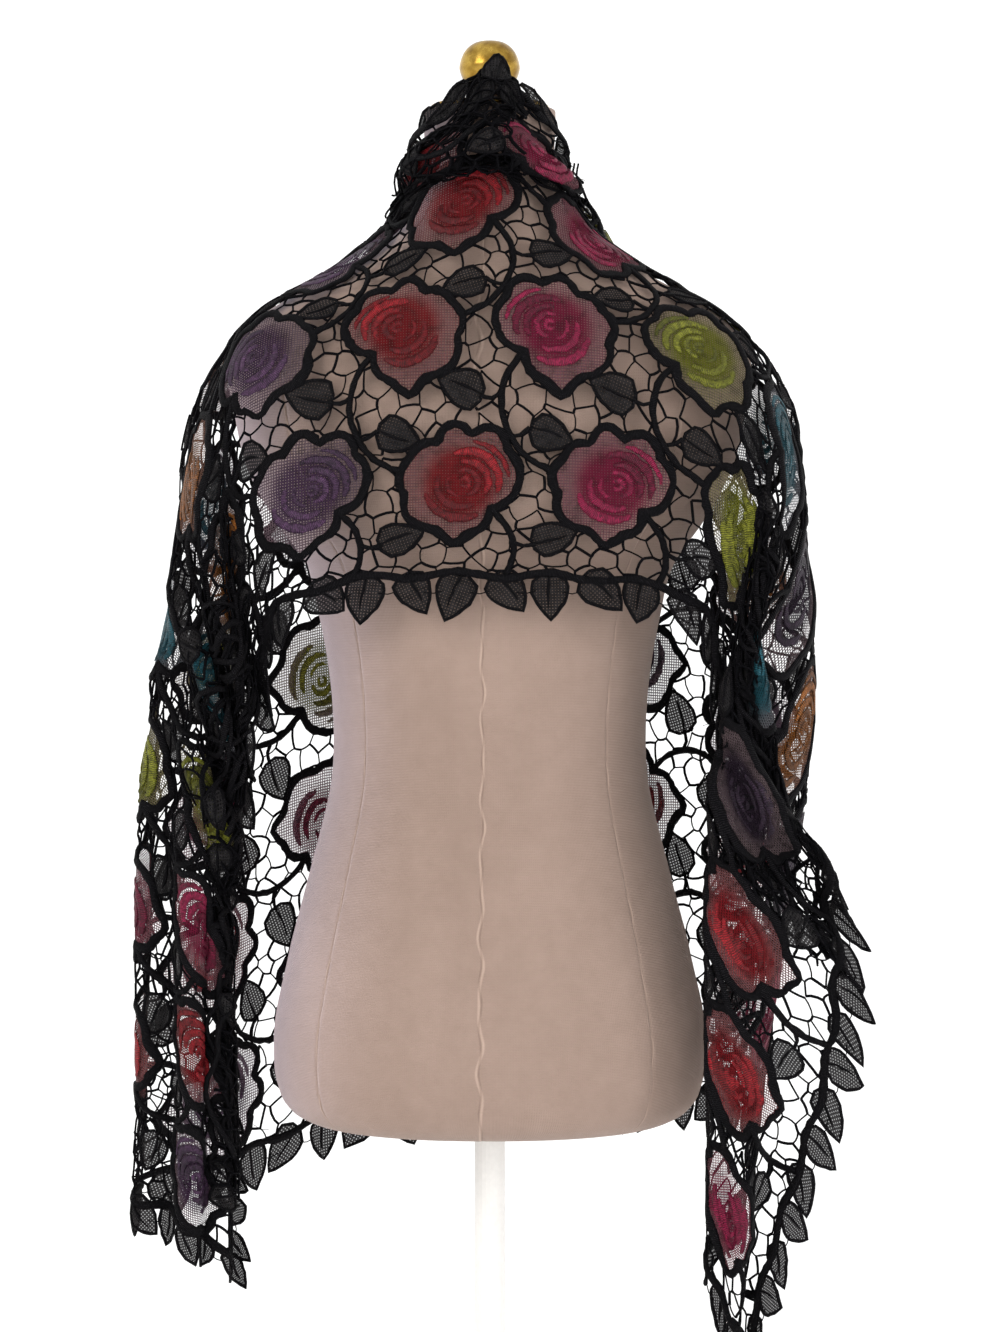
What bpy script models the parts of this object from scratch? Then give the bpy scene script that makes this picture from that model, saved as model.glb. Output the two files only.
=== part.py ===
"""Lace mantilla draped over a limbless dress form that stands on a pole and a round base.

Sizes are in millimetres and are turned into metres where a mesh is made.
X runs to the right as seen from behind the form, -Y is the form's back and +Z is up.
The origin is the centre of the base's underside.
"""

import math

import bmesh
import bpy
import numpy as np
from mathutils import Vector
from mathutils.geometry import delaunay_2d_cdt

METRES = 0.001
GAP = 0.3  # between pieces that touch

# Stand
BASE_RADIUS = 150
BASE_HEIGHT = 14
BASE_EDGE = 3
POLE_RADIUS = 12
FORM_BOTTOM = 300  # height above the floor that the form's own heights are measured from

# Dress form: heights above FORM_BOTTOM
NECK_TOP = 782
FORM_SQUARENESS = 2.3  # exponent of the superellipse that each section follows
FORM_SIDES = 32
FORM_SECTIONS = (  # height, half width, depth behind the axis, depth in front of it
    (-4, 120, 72, 68),
    (-1, 134, 84, 80),
    (5, 149, 95, 91),
    (14, 159, 102, 97),
    (28, 165, 106, 100),
    (60, 168, 109, 101),
    (130, 156, 105, 97),
    (200, 138, 92, 90),
    (270, 122, 82, 87),
    (330, 122, 84, 98),
    (390, 131, 92, 118),
    (435, 143, 98, 124),
    (468, 166, 101, 116),
    (505, 186, 101, 102),
    (550, 197, 94, 84),
    (585, 202, 82, 66),
    (606, 196, 73, 56),
    (624, 178, 68, 50),
    (642, 149, 64, 46),
    (660, 116, 60, 44),
    (680, 82, 57, 46),
    (700, 61, 54, 47),
    (722, 52, 52, 46),
    (NECK_TOP, 50, 50, 45),
)

# Brass cap and knob on the neck
CAP_RADIUS = 46
CAP_HEIGHT = 5
KNOB_PROFILE = (  # radius, height above the cap
    (15, 0),
    (16, 3),
    (10, 6),
    (8.5, 10),
    (13, 13.5),
    (19.5, 18),
    (23, 26),
    (23, 32),
    (19.5, 41),
    (12, 47.5),
    (0, 50),
)
CLEARANCE_ABOVE_NECK = (  # height, half width, depth behind, depth in front, for cloth over the cap and knob
    (788, 47, 47, 43),
    (800, 27, 27, 26),
    (817, 24, 24, 24),
    (830, 19, 19, 19),
    (842, 4, 4, 4),
)

# Flat lace, u along its length and v across it from the lower hem, between the stem lines of its trim
LACE_LEFT = -858
LACE_RIGHT = 845
LACE_WIDTH = 485
WALL = 2.0
ROSE_RELIEF = 1.2  # how far a rose's corded rim and petals stand out of the wall
ROSE_PITCH = 113
ROSE_START = -22
ROSE_ROW_STEP = 111
ROSE_ROW_FIRST = 76
ROSE_ROWS = 4
ROSE_ROW_SHIFT = -42  # every second row lies this far along
ROSE_COLUMNS = range(-7, 8)
ROSE_RADIUS = 42
ROSE_LEAST_ROOM = 40  # from a rose's centre to the end of the lace
ROSE_POINTS = 8
ROSE_LEAVES = (  # along, across, radius kept whole, for every second row and mirrored for the others
    (-70, -44, 16),
    (-2, -76, 16),
)
ROSE_STEM = ((-36, -36), (-40, -56), (-34, -75), (-22, -91), (-2, -102))  # from a rose to the next row's
STEM_HALF_WIDTH = 4
TRIM_PITCH = 36
TRIM_LEAF = ((-13, 15), (4, 31), (14, 14))  # along the stem line, out from it
TRIM_VALLEY = 5
NET_PITCH = 17.5
NET_JITTER = 0.36
NET_SEED = 11
NET_MARGIN = 9  # between the stem line and the nearest mesh
GAP_INSET = 1.2
GAP_SIDES = 5
GAPS_EACH_ROSE = 5
GAP_LIMIT = 300
FILL_PITCH = 32
FILL_SPARE = 15  # least distance from a fill point to any other
SEAM_HALF_GAP = 0.77  # measured on the draped cloth
STRETCHES = (  # name, first and last rose column
    ("lace_left_end", -7, -6),
    ("lace_left_fall", -5, -2),
    ("lace_back", -1, 1),
    ("lace_right_fall", 2, 5),
    ("lace_right_end", 6, 7),
)

# Drape. Each row is a line that runs the length of the lace at v across it, from the hem behind
# to the edge at the neck and chest. Points are (x, y, z) with z above the form's underside.
BACK_LINES = (  # v, centre back, beside the neck, shoulder blade, shoulder
    (0, (0, -113, 425), (58, -111, 425), (112, -106, 421), (155, -100, 406)),
    (80, (0, -110, 497), (58, -108, 497), (115, -103, 493), (170, -97, 482)),
    (118, (0, -106, 537), (58, -103, 536), (113, -98, 532), (177, -89, 519)),
    (160, (0, -99, 583), (58, -96, 583), (115, -88, 578), (182, -80, 560)),
    (235, (0, -79, 655), (56, -74, 651), (108, -65, 636), (178, -42, 620)),
    (300, (0, -64, 710), (46, -52, 698), (88, -30, 671), (152, -6, 643)),
    (345, (0, -60, 742), (46, -44, 730), (76, -12, 695), (124, 18, 658)),
    (372, (0, -75, 730), (52, -52, 721), (74, -2, 702), (108, 28, 664)),
    (410, (0, -80, 754), (48, -52, 740), (67, 8, 713), (92, 44, 670)),
    (LACE_WIDTH, (4, -36, 806), (24, -30, 774), (50, 18, 742), (68, 62, 698)),
)
LEFT_LINES = (  # v, below the shoulder, elbow height, end hem
    (0, (170, -102, 352), (194, -88, 232), (196, -76, -92)),
    (80, (194, -106, 430), (206, -106, 305), (222, -98, -64)),
    (118, (204, -97, 464), (224, -97, 334), (243, -90, -54)),
    (160, (212, -86, 498), (240, -84, 362), (262, -78, -48)),
    (235, (216, -32, 564), (242, -24, 414), (272, -20, -44)),
    (300, (206, 14, 584), (216, 34, 424), (212, 34, -42)),
    (345, (186, 48, 594), (192, 68, 432), (180, 66, -34)),
    (372, (166, 68, 601), (170, 88, 440), (158, 86, -28)),
    (410, (134, 84, 608), (138, 108, 446), (128, 114, -22)),
    (LACE_WIDTH, (70, 92, 622), (70, 128, 458), (56, 130, -16)),
)
RIGHT_LINES = (
    (0, (172, -102, 352), (252, -112, 190), (195, -104, -150)),
    (80, (196, -106, 430), (190, -118, 318), (174, -112, -118)),
    (118, (208, -99, 470), (176, -112, 352), (162, -100, -84)),
    (160, (216, -86, 508), (218, -84, 385), (190, -80, -46)),
    (235, (220, -32, 570), (246, -26, 425), (206, -34, 10)),
    (300, (208, 12, 588), (206, 30, 430), (190, 26, 10)),
    (345, (184, 46, 597), (174, 62, 440), (168, 64, 8)),
    (372, (160, 66, 603), (150, 82, 446), (150, 86, 4)),
    (410, (126, 84, 610), (118, 108, 452), (122, 114, -4)),
    (LACE_WIDTH, (66, 94, 624), (52, 128, 462), (52, 130, -14)),
)
TURN_START = 3  # most slack of a line is gathered between its shoulder point and its elbow point
TURN_END = 5
TURN_SHARE = 0.4
CLOTH_CLEARANCE = 2.2
FACE_CLEARANCE = 0.7  # between the form and the wall's inner faces
GRID_STEP = 8
CASCADE_WAVE = 88  # cloth taken by each fold across the hem where it turns down
PLEAT_WAVE = 78  # cloth taken by each pleat that runs down a fall
MOST_SLACK_DEPTH = 12
MOST_PLEAT_DEPTH = 8


def table_at(table, height):
    """The columns of a table after its first, read at heights in its first column."""
    rows = np.array(table, float)
    return [np.interp(height, rows[:, 0], rows[:, k]) for k in range(1, rows.shape[1])]


def form_excess(points):
    """How far points lie outside the form, cap and knob, as a share of the section there."""
    half_width, behind, ahead = table_at(FORM_SECTIONS + CLEARANCE_ABOVE_NECK, points[..., 2])
    depth = np.where(points[..., 1] < 0, behind, ahead)
    power = FORM_SQUARENESS
    reach = np.abs(points[..., 0] / half_width) ** power + np.abs(points[..., 1] / depth) ** power
    return reach ** (1 / power) - 1


def clear_of_form(points, clearance, rounds=5, probe=1.0):
    """Points moved out along the form's surface normal until they are clear of it."""
    points = points.copy()
    for _ in range(rounds):
        excess = form_excess(points)
        slope = np.stack(
            [(form_excess(points + probe * axis) - form_excess(points - probe * axis)) / (2 * probe)
             for axis in np.eye(3)],
            axis=-1,
        )
        steep = np.maximum(np.linalg.norm(slope, axis=-1), 1e-6)
        short = np.clip(clearance - excess / steep, 0, 12)
        points += slope / steep[..., None] * short[..., None]
    return points


def hermite(at, knots, values):
    """A smooth curve through values at knots, read at one place or many."""
    knots = np.asarray(knots, float)
    values = np.asarray(values, float)
    steps = np.diff(knots)
    rise = np.diff(values, axis=0) / steps[:, None]
    inner = (rise[:-1] * steps[1:, None] + rise[1:] * steps[:-1, None]) / (steps[:-1] + steps[1:])[:, None]
    slopes = np.concatenate([rise[:1], inner, rise[-1:]])
    i = np.clip(np.searchsorted(knots, at, side="right") - 1, 0, len(steps) - 1)
    t = ((at - knots[i]) / steps[i])[..., None]
    h = steps[i][..., None]
    ease = t * t * (3 - 2 * t)
    return (
        values[i] * (1 - ease)
        + values[i + 1] * ease
        + h * slopes[i] * t * (1 - t) ** 2
        - h * slopes[i + 1] * t * t * (1 - t)
    )


def line_through(row, fall_row, side, length):
    """The knots along the cloth and the points of one line, from the centre back to the end hem."""
    points = np.array(row[1:] + fall_row[1:], float)
    points[1:, 0] *= side
    steps = np.linalg.norm(np.diff(points, axis=0), axis=1)
    slack = length - steps.sum()
    turn = slice(TURN_START, TURN_END)
    steps[turn] *= 1 + TURN_SHARE * slack / steps[turn].sum()
    steps[TURN_END:] += (1 - TURN_SHARE) * slack
    return np.concatenate([[0], np.cumsum(steps)]), points


def base_surface(u, v):
    """The drape before its folds: points for arrays of places along and across the cloth."""
    widths = np.array([row[0] for row in BACK_LINES], float)
    lines = []
    for row, left, right in zip(BACK_LINES, LEFT_LINES, RIGHT_LINES):
        left_knots, left_points = line_through(row, left, -1, -LACE_LEFT)
        right_knots, right_points = line_through(row, right, 1, LACE_RIGHT)
        knots = np.concatenate([-left_knots[:0:-1], right_knots])
        points = np.concatenate([left_points[:0:-1], right_points])
        lines.append(hermite(u, knots, points))
    lines = np.stack(lines)
    return across(v, widths, lines)


def across(v, widths, lines):
    """hermite() across the width, where each place along the cloth has its own values."""
    steps = np.diff(widths)
    shape = (-1,) + (1,) * (lines.ndim - 1)
    rise = np.diff(lines, axis=0) / steps.reshape(shape)
    weight = steps.reshape(shape)
    inner = (rise[:-1] * weight[1:] + rise[1:] * weight[:-1]) / (weight[:-1] + weight[1:])
    slopes = np.concatenate([rise[:1], inner, rise[-1:]])
    i = np.clip(np.searchsorted(widths, v, side="right") - 1, 0, len(steps) - 1)
    t = ((v - widths[i]) / steps[i])[..., None]
    h = steps[i][..., None]
    ease = t * t * (3 - 2 * t)
    places = np.indices(v.shape)
    pick = lambda values, k: values[(k, *places)]
    return (
        pick(lines, i) * (1 - ease)
        + pick(lines, i + 1) * ease
        + h * pick(slopes, i) * t * (1 - t) ** 2
        - h * pick(slopes, i + 1) * t * t * (1 - t)
    )


def surface_frame(points, step):
    """Lengths of the two tangents of a grid of points, and its unit normals."""
    along = np.gradient(points, step, axis=0)
    over = np.gradient(points, step, axis=1)
    normal = np.cross(along, over)
    normal /= np.maximum(np.linalg.norm(normal, axis=-1, keepdims=True), 1e-9)
    return np.linalg.norm(along, axis=-1), np.linalg.norm(over, axis=-1), normal


def smooth(field, rounds):
    for _ in range(rounds):
        padded = np.pad(field, 1, mode="edge")
        field = (padded[:-2, 1:-1] + padded[2:, 1:-1] + padded[1:-1, :-2] + padded[1:-1, 2:] + 2 * field) / 6
    return field


def fold_depth(stretch, wave):
    """How deep sine folds of that much cloth are, where the surface is short by that stretch."""
    return wave / (2 * math.pi) * np.sqrt(2 * np.clip(1 - stretch**2, 0, 1))


def drape_grid():
    """The draped cloth as a grid of points, from the left end to the right and from the hem up."""
    margin = 40
    us = np.arange(LACE_LEFT - margin, LACE_RIGHT + margin + 1, GRID_STEP, dtype=float)
    vs = np.arange(-margin, LACE_WIDTH + margin + 1, GRID_STEP, dtype=float)
    u, v = np.meshgrid(us, vs, indexing="ij")
    points = clear_of_form(base_surface(u, v), CLOTH_CLEARANCE)
    along, over, normal = surface_frame(points, GRID_STEP)
    fall = np.clip((np.abs(u) - 195) / 120, 0, 1)
    gathered = np.maximum(fall, np.clip((v - 320) / 60, 0, 1) * np.clip((np.abs(u) - 30) / 50, 0, 1))
    turn = np.clip((np.abs(u) - 200) / 80, 0, 1) * np.clip((580 - np.abs(u)) / 120, 0, 1)
    hemward = np.clip(1 - (v - 60) / 200, 0, 1)
    cascade = smooth(np.minimum(fold_depth(along, CASCADE_WAVE), MOST_SLACK_DEPTH) * turn * hemward, 6)
    pleats = smooth(np.minimum(fold_depth(over, PLEAT_WAVE), MOST_PLEAT_DEPTH) * gathered, 6)
    pleats *= 1 - 0.5 * cascade / MOST_SLACK_DEPTH
    normal = np.stack([smooth(normal[..., k], 4) for k in range(3)], axis=-1)
    side = np.sign(u)
    drift = 0.5 * np.sin(u / 170 + 1.1) + 0.35 * np.sin(u / 71 + 0.4 * side)
    bunch = 0.7 * np.sin(v / 61 + 0.9 * side)
    folds = pleats * np.sin(2 * math.pi * v / PLEAT_WAVE + drift + bunch)
    folds += cascade * np.sin(2 * math.pi * np.abs(u) / CASCADE_WAVE + 0.6 * side + v / 90)
    points = clear_of_form(points + normal * folds[..., None], CLOTH_CLEARANCE)
    points[..., 2] += FORM_BOTTOM
    return us, vs, points


class Drape:
    """Reads the draped cloth at any place of the flat lace."""

    def __init__(self):
        self.us, self.vs, self.points = drape_grid()
        self.normals = surface_frame(self.points, GRID_STEP)[2]

    def at(self, flat):
        """Points on the cloth and its normals there, for flat places (u, v)."""
        flat = np.asarray(flat, float)
        i = np.clip((flat[:, 0] - self.us[0]) / GRID_STEP, 0, len(self.us) - 1.001)
        j = np.clip((flat[:, 1] - self.vs[0]) / GRID_STEP, 0, len(self.vs) - 1.001)
        a, b = i.astype(int), j.astype(int)
        s, t = (i - a)[:, None], (j - b)[:, None]

        def read(grid):
            low = grid[a, b] * (1 - s) + grid[a + 1, b] * s
            high = grid[a, b + 1] * (1 - s) + grid[a + 1, b + 1] * s
            return low * (1 - t) + high * t

        normal = read(self.normals)
        normal /= np.linalg.norm(normal, axis=1, keepdims=True)
        return read(self.points), normal


def rose_plan():
    """Each rose as (column, row, u, v, side), where side is -1 in the mirrored rows."""
    roses = []
    for column in ROSE_COLUMNS:
        for row in range(ROSE_ROWS):
            shift = ROSE_ROW_SHIFT if row % 2 else 0
            u = ROSE_START + column * ROSE_PITCH + shift
            if u - LACE_LEFT > ROSE_LEAST_ROOM:
                roses.append((column, row, u, ROSE_ROW_FIRST + row * ROSE_ROW_STEP, 1 if row % 2 else -1))
    return roses


def whole_discs(roses):
    """Discs of the flat lace that no mesh of the net may enter: (u, v, radius)."""
    discs = []
    for _, _, u, v, side in roses:
        discs.append((u, v, ROSE_RADIUS + 2.5))
        discs.append((u, v - ROSE_RADIUS, 8))
        discs += [(u + side * along, v + across_, radius) for along, across_, radius in ROSE_LEAVES]
        discs += [(u + side * along, v + across_, STEM_HALF_WIDTH) for along, across_ in ROSE_STEM]
    return np.array(discs, float)


def net_sites():
    """Jittered sites in staggered rows; the net's threads are the borders of their cells."""
    rng = np.random.default_rng(NET_SEED)
    rows = int((LACE_WIDTH + 60) / (NET_PITCH * 0.866))
    columns = int((LACE_RIGHT - LACE_LEFT + 60) / NET_PITCH)
    i, j = np.meshgrid(np.arange(columns), np.arange(rows), indexing="ij")
    u = LACE_LEFT - 30 + NET_PITCH * (i + 0.5 * (j % 2))
    v = -30 + NET_PITCH * 0.866 * j
    sites = np.stack([u, v], axis=-1).reshape(-1, 2)
    return sites + rng.uniform(-NET_JITTER, NET_JITTER, sites.shape) * NET_PITCH


def net_cells(sites):
    """The border of the cell round each site, as points in order of their angle."""
    _, _, faces, _, _, _ = delaunay_2d_cdt([Vector(site) for site in sites], [], [], 0, 1e-6)
    corners = sites[np.array(faces)]
    a, b, c = corners[:, 0], corners[:, 1], corners[:, 2]
    ab, ac = b - a, c - a
    twice = 2 * (ab[:, 0] * ac[:, 1] - ab[:, 1] * ac[:, 0])
    ab2, ac2 = (ab**2).sum(axis=1), (ac**2).sum(axis=1)
    centre = a + np.stack(
        [ac[:, 1] * ab2 - ab[:, 1] * ac2, ab[:, 0] * ac2 - ac[:, 0] * ab2], axis=1
    ) / twice[:, None]
    around = [[] for _ in sites]
    for face, point in zip(faces, centre):
        for corner in face:
            around[corner].append(point)
    cells = []
    for site, points in zip(sites, around):
        points = np.array(points)
        turn = np.arctan2(points[:, 1] - site[1], points[:, 0] - site[0])
        cells.append(points[np.argsort(turn)])
    return cells


def in_net(u, v):
    return (
        (u > LACE_LEFT + NET_MARGIN) & (u < LACE_RIGHT - NET_MARGIN)
        & (v > NET_MARGIN) & (v < LACE_WIDTH - NET_MARGIN)
    )


def seam_at(column, v):
    """Place along the lace of the seam to the left of a rose column, between its roses."""
    rows = np.arange(-1, ROSE_ROWS + 1)
    shift = np.where(rows % 2, ROSE_ROW_SHIFT, 0)
    return ROSE_START + (column - 0.5) * ROSE_PITCH + np.interp(v, ROSE_ROW_FIRST + rows * ROSE_ROW_STEP, shift)


def polygon_area(points):
    x, y = points[:, 0], points[:, 1]
    return 0.5 * abs(np.dot(x, np.roll(y, -1)) - np.dot(y, np.roll(x, -1)))


def cut_gaps(roses):
    """The largest meshes beside each rose, as five-sided outlines; the rest stay filled."""
    discs = whole_discs(roses)
    seams = [first for _, first, _ in STRETCHES[1:]]
    found = []
    sites = net_sites()
    for site, cell in zip(sites, net_cells(sites)):
        if len(cell) < 5 or not in_net(*site) or not in_net(cell[:, 0], cell[:, 1]).all():
            continue
        reach = np.linalg.norm(discs[:, :2] - site, axis=1) - discs[:, 2]
        if reach.min() < 5:
            continue
        while len(cell) > GAP_SIDES:
            edge = np.linalg.norm(cell - np.roll(cell, -1, axis=0), axis=1)
            k = int(np.argmin(edge))
            cell[k] = (cell[k] + cell[(k + 1) % len(cell)]) / 2
            cell = np.delete(cell, (k + 1) % len(cell), axis=0)
        outward = cell - cell.mean(axis=0)
        far = np.linalg.norm(outward, axis=1, keepdims=True)
        cell = cell.mean(axis=0) + outward * np.clip((far - GAP_INSET) / far, 0.1, 1)
        for u, v, radius in discs[reach < 20]:
            away = cell - (u, v)
            distance = np.linalg.norm(away, axis=1, keepdims=True)
            cell = np.where(distance < radius, (u, v) + away * radius / distance, cell)
        edge = np.linalg.norm(cell - np.roll(cell, -1, axis=0), axis=1)
        beside = [seam_at(column, cell[:, 1]) - cell[:, 0] for column in seams]
        if edge.min() < 3 or any(away.min() < 3 and away.max() > -3 for away in beside):
            continue
        near = [(site[0] - u) ** 2 + (site[1] - v) ** 2 for _, _, u, v, _ in roses]
        found.append((int(np.argmin(near)), polygon_area(cell), cell))
    gaps = []
    for k in range(len(roses)):
        mine = sorted((gap for gap in found if gap[0] == k), key=lambda gap: -gap[1])
        gaps += [cell for _, _, cell in mine[:GAPS_EACH_ROSE]]
    return gaps[:GAP_LIMIT]


def trim_side(start, end, outward):
    """The leafy edge of one side of the lace, from one corner of its stem lines to the next."""
    start, end, outward = (np.array(p, float) for p in (start, end, outward))
    length = np.linalg.norm(end - start)
    along = (end - start) / length
    count = round(length / TRIM_PITCH)
    pitch = length / count
    points = []
    for k in range(count):
        middle = start + along * pitch * (k + 0.5)
        points.append(middle - along * pitch / 2 + outward * TRIM_VALLEY)
        points += [middle + along * a + outward * b for a, b in TRIM_LEAF]
    return points[1:]


def stretch_outline(first, last):
    """The edge of one stretch, turning left round it: leafy trim, and seams where it meets another.

    The second result tells which way along the lace the stretch lies from each point of a seam.
    """
    low, high = LACE_LEFT, LACE_RIGHT
    hem = trim_side((low, 0), (high, 0), (0, -1))
    top = trim_side((high, LACE_WIDTH), (low, LACE_WIDTH), (0, 1))
    marks = [ROSE_ROW_FIRST + k * ROSE_ROW_STEP / 7 for k in range(-4, 26)]
    marks = np.array([-TRIM_VALLEY] + marks + [LACE_WIDTH + TRIM_VALLEY])

    def seam(column, side):
        return [(seam_at(column, v), v, side) for v in marks]

    def kept(points):
        points = np.array(points)
        keep = np.ones(len(points), bool)
        if first != ROSE_COLUMNS[0]:
            keep &= points[:, 0] > seam_at(first, points[:, 1]) + 7
        if last != ROSE_COLUMNS[-1]:
            keep &= points[:, 0] < seam_at(last + 1, points[:, 1]) - 7
        return list(points[keep])

    right_end = [(high + 13, -13)] + trim_side((high, 0), (high, LACE_WIDTH), (1, 0)) + [(high + 13, LACE_WIDTH + 13)]
    left_end = [(low - 13, LACE_WIDTH + 13)] + trim_side((low, LACE_WIDTH), (low, 0), (-1, 0)) + [(low - 13, -13)]
    right = right_end if last == ROSE_COLUMNS[-1] else seam(last + 1, -1)
    left = left_end if first == ROSE_COLUMNS[0] else seam(first, 1)[::-1]
    edge = np.array([(*p, 0)[:3] for p in kept(hem) + right + kept(top) + left], float)
    return edge[:, :2], edge[:, 2]


def inside_outline(points, outline):
    """Whether each point lies inside a closed outline."""
    x, y = points[:, 0, None], points[:, 1, None]
    ax, ay = outline[:, 0], outline[:, 1]
    bx, by = np.roll(ax, -1), np.roll(ay, -1)
    rise = np.where(by == ay, 1e-9, by - ay)
    crosses = ((ay > y) != (by > y)) & (x < (bx - ax) * (y - ay) / rise + ax)
    return crosses.sum(axis=1) % 2 == 1


def rose_points(u, v, side):
    """A rose's plan: a low foot ring, a raised corded rim, a low ring of petals and a raised heart."""
    points, relief = [(u, v)], [ROSE_RELIEF]
    for radius, height, turn in (
        (ROSE_RADIUS + 1, 0, 0),
        (ROSE_RADIUS - 5, ROSE_RELIEF, 0),
        (ROSE_RADIUS - 21, 0.2 * ROSE_RELIEF, 0.5),
    ):
        count = ROSE_POINTS if radius > 20 else ROSE_POINTS - 3
        for k in range(count):
            angle = side * 2 * math.pi * (k + turn) / count - math.pi / 2
            tip = 1.13 if k == 0 and radius > 20 else 1
            points.append((u + tip * radius * math.cos(angle), v + tip * radius * math.sin(angle)))
            relief.append(height)
    return points, relief


def seam_shift(drape, flat, side):
    """Moves the edge of a stretch back from its seam, within the cloth and square to the seam."""
    slope = (seam_at(0, flat[:, 1] + 1) - seam_at(0, flat[:, 1] - 1)) / 2
    along_seam = drape.at(flat + np.stack([slope, np.ones(len(flat))], axis=1))[0] - drape.at(flat)[0]
    along_seam /= np.linalg.norm(along_seam, axis=1, keepdims=True)
    away = drape.at(flat + (1, 0))[0] - drape.at(flat - (1, 0))[0]
    away -= along_seam * (away * along_seam).sum(axis=1, keepdims=True)
    return away / np.linalg.norm(away, axis=1, keepdims=True) * (side * SEAM_HALF_GAP)[:, None]


def lift_faces(points, faces, loose, rounds=16):
    """Points moved out until the flat faces between them are clear of the form too."""
    points = points - (0, 0, FORM_BOTTOM)
    for _ in range(rounds):
        corners = points[faces]
        for weights in ((1, 1, 1), (1, 1, 0), (0, 1, 1), (1, 0, 1)):
            share = np.array(weights, float) / sum(weights)
            samples = (corners * share[:, None]).sum(axis=1)
            moves = clear_of_form(samples, WALL / 2 + FACE_CLEARANCE, rounds=1) - samples
            size = np.linalg.norm(moves, axis=1)
            for face, move in zip(faces[size > 0.01], moves[size > 0.01]):
                corner = face[share > 0]
                points[corner[loose[corner]]] += move * 0.2
    return points + (0, 0, FORM_BOTTOM)


def stretch_mesh(drape, roses, gaps, first, last):
    """One stretch of the lace as a closed wall: points and faces."""
    outline, seam_side = stretch_outline(first, last)
    flat = [tuple(p) for p in outline]
    relief = [0.0] * len(flat)
    edges = [(k, (k + 1) % len(flat)) for k in range(len(flat))]
    rings = [list(range(len(flat)))]
    holes = []
    for gap in gaps:
        centre = gap.mean(axis=0)
        if inside_outline(centre[None], outline)[0]:
            ring = list(range(len(flat), len(flat) + len(gap)))
            flat += [tuple(p) for p in gap]
            relief += [0.0] * len(gap)
            edges += [(ring[k], ring[(k + 1) % len(ring)]) for k in range(len(ring))]
            rings.append(ring)
            holes.append(gap)
    for column, _, u, v, side in roses:
        if first <= column <= last:
            points, heights = rose_points(u, v, side)
            flat += points
            relief += heights
    taken = np.array(flat)
    us = np.arange(outline[:, 0].min(), outline[:, 0].max(), FILL_PITCH)
    vs = np.arange(0, LACE_WIDTH + 1, FILL_PITCH * 0.866)
    fill = np.array([(a + (k % 2) * FILL_PITCH / 2, b) for k, b in enumerate(vs) for a in us])
    fill = fill[inside_outline(fill, outline)]
    for gap in holes:
        fill = fill[~inside_outline(fill, gap)]
    nearest = np.linalg.norm(fill[:, None] - taken[None], axis=2).min(axis=1)
    fill = fill[nearest > FILL_SPARE]
    flat += [tuple(p) for p in fill]
    relief += [0.0] * len(fill)
    flat, relief = np.array(flat), np.array(relief)
    points, _, faces, _, _, _ = delaunay_2d_cdt([Vector(p) for p in flat], edges, [], 0, 1e-6)
    if len(points) != len(flat):
        raise ValueError("the flat lace has edges that cross")
    faces = np.array(faces)
    centres = flat[faces].mean(axis=1)
    keep = inside_outline(centres, outline)
    for gap in holes:
        keep &= ~inside_outline(centres, gap)
    faces = faces[keep]
    middle, normals = drape.at(flat)
    loose = np.ones(len(flat), bool)
    loose[: len(outline)] = seam_side == 0
    middle = lift_faces(middle, faces, loose)
    middle[~loose] += seam_shift(drape, flat[~loose], seam_side[seam_side != 0])
    outer = middle + normals * (WALL / 2 + relief)[:, None]
    inner = middle - normals * WALL / 2
    count = len(flat)
    walls = []
    for a, b in boundary_edges(faces):
        if flat[a][1] < flat[b][1]:  # so that the walls on both sides of a seam are split alike
            walls += [(b, a, b + count), (a, a + count, b + count)]
        else:
            walls += [(b, a, a + count), (b, a + count, b + count)]
    everything = np.concatenate([faces, faces[:, ::-1] + count, np.array(walls)])
    return np.concatenate([outer, inner]), everything


def boundary_edges(faces):
    """The directed edges that only one face uses."""
    directed = [(int(face[k]), int(face[(k + 1) % 3])) for face in faces for k in range(3)]
    seen = set(directed)
    return [(a, b) for a, b in directed if (b, a) not in seen]


# Objects


def material(name, colour, roughness, metallic=0.0):
    made = bpy.data.materials.new(name)
    made.use_nodes = True
    shader = made.node_tree.nodes["Principled BSDF"]
    shader.inputs["Base Color"].default_value = (*colour, 1)
    shader.inputs["Roughness"].default_value = roughness
    shader.inputs["Metallic"].default_value = metallic
    return made


def solid(name, points, faces, surface, smooth_shaded=True):
    """One named object from points in millimetres and faces turned outwards."""
    mesh = bpy.data.meshes.new(name)
    mesh.from_pydata((np.asarray(points, float) * METRES).tolist(), [], [list(map(int, f)) for f in faces])
    work = bmesh.new()
    work.from_mesh(mesh)
    bmesh.ops.recalc_face_normals(work, faces=work.faces)
    work.to_mesh(mesh)
    work.free()
    mesh.polygons.foreach_set("use_smooth", [smooth_shaded] * len(mesh.polygons))
    mesh.materials.append(surface)
    made = bpy.data.objects.new(name, mesh)
    bpy.context.scene.collection.objects.link(made)
    return made


def turned_solid(name, profile, sides, surface, bottom=0.0):
    """A solid of revolution about Z from (radius, height) rows, lowest first."""
    points, rings = [], []
    for radius, height in profile:
        ring = []
        for k in range(sides if radius else 1):
            angle = 2 * math.pi * k / sides
            ring.append(len(points))
            points.append((radius * math.cos(angle), radius * math.sin(angle), bottom + height))
        rings.append(ring)
    faces = [rings[0][::-1]] if len(rings[0]) > 1 else []
    for low, high in zip(rings, rings[1:]):
        for k in range(sides):
            n = (k + 1) % sides
            if len(high) == 1:
                faces.append((low[k], low[n], high[0]))
            else:
                faces.append((low[k], low[n], high[n], high[k]))
    if len(rings[-1]) > 1:
        faces.append(rings[-1])
    return solid(name, points, faces, surface)


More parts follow.
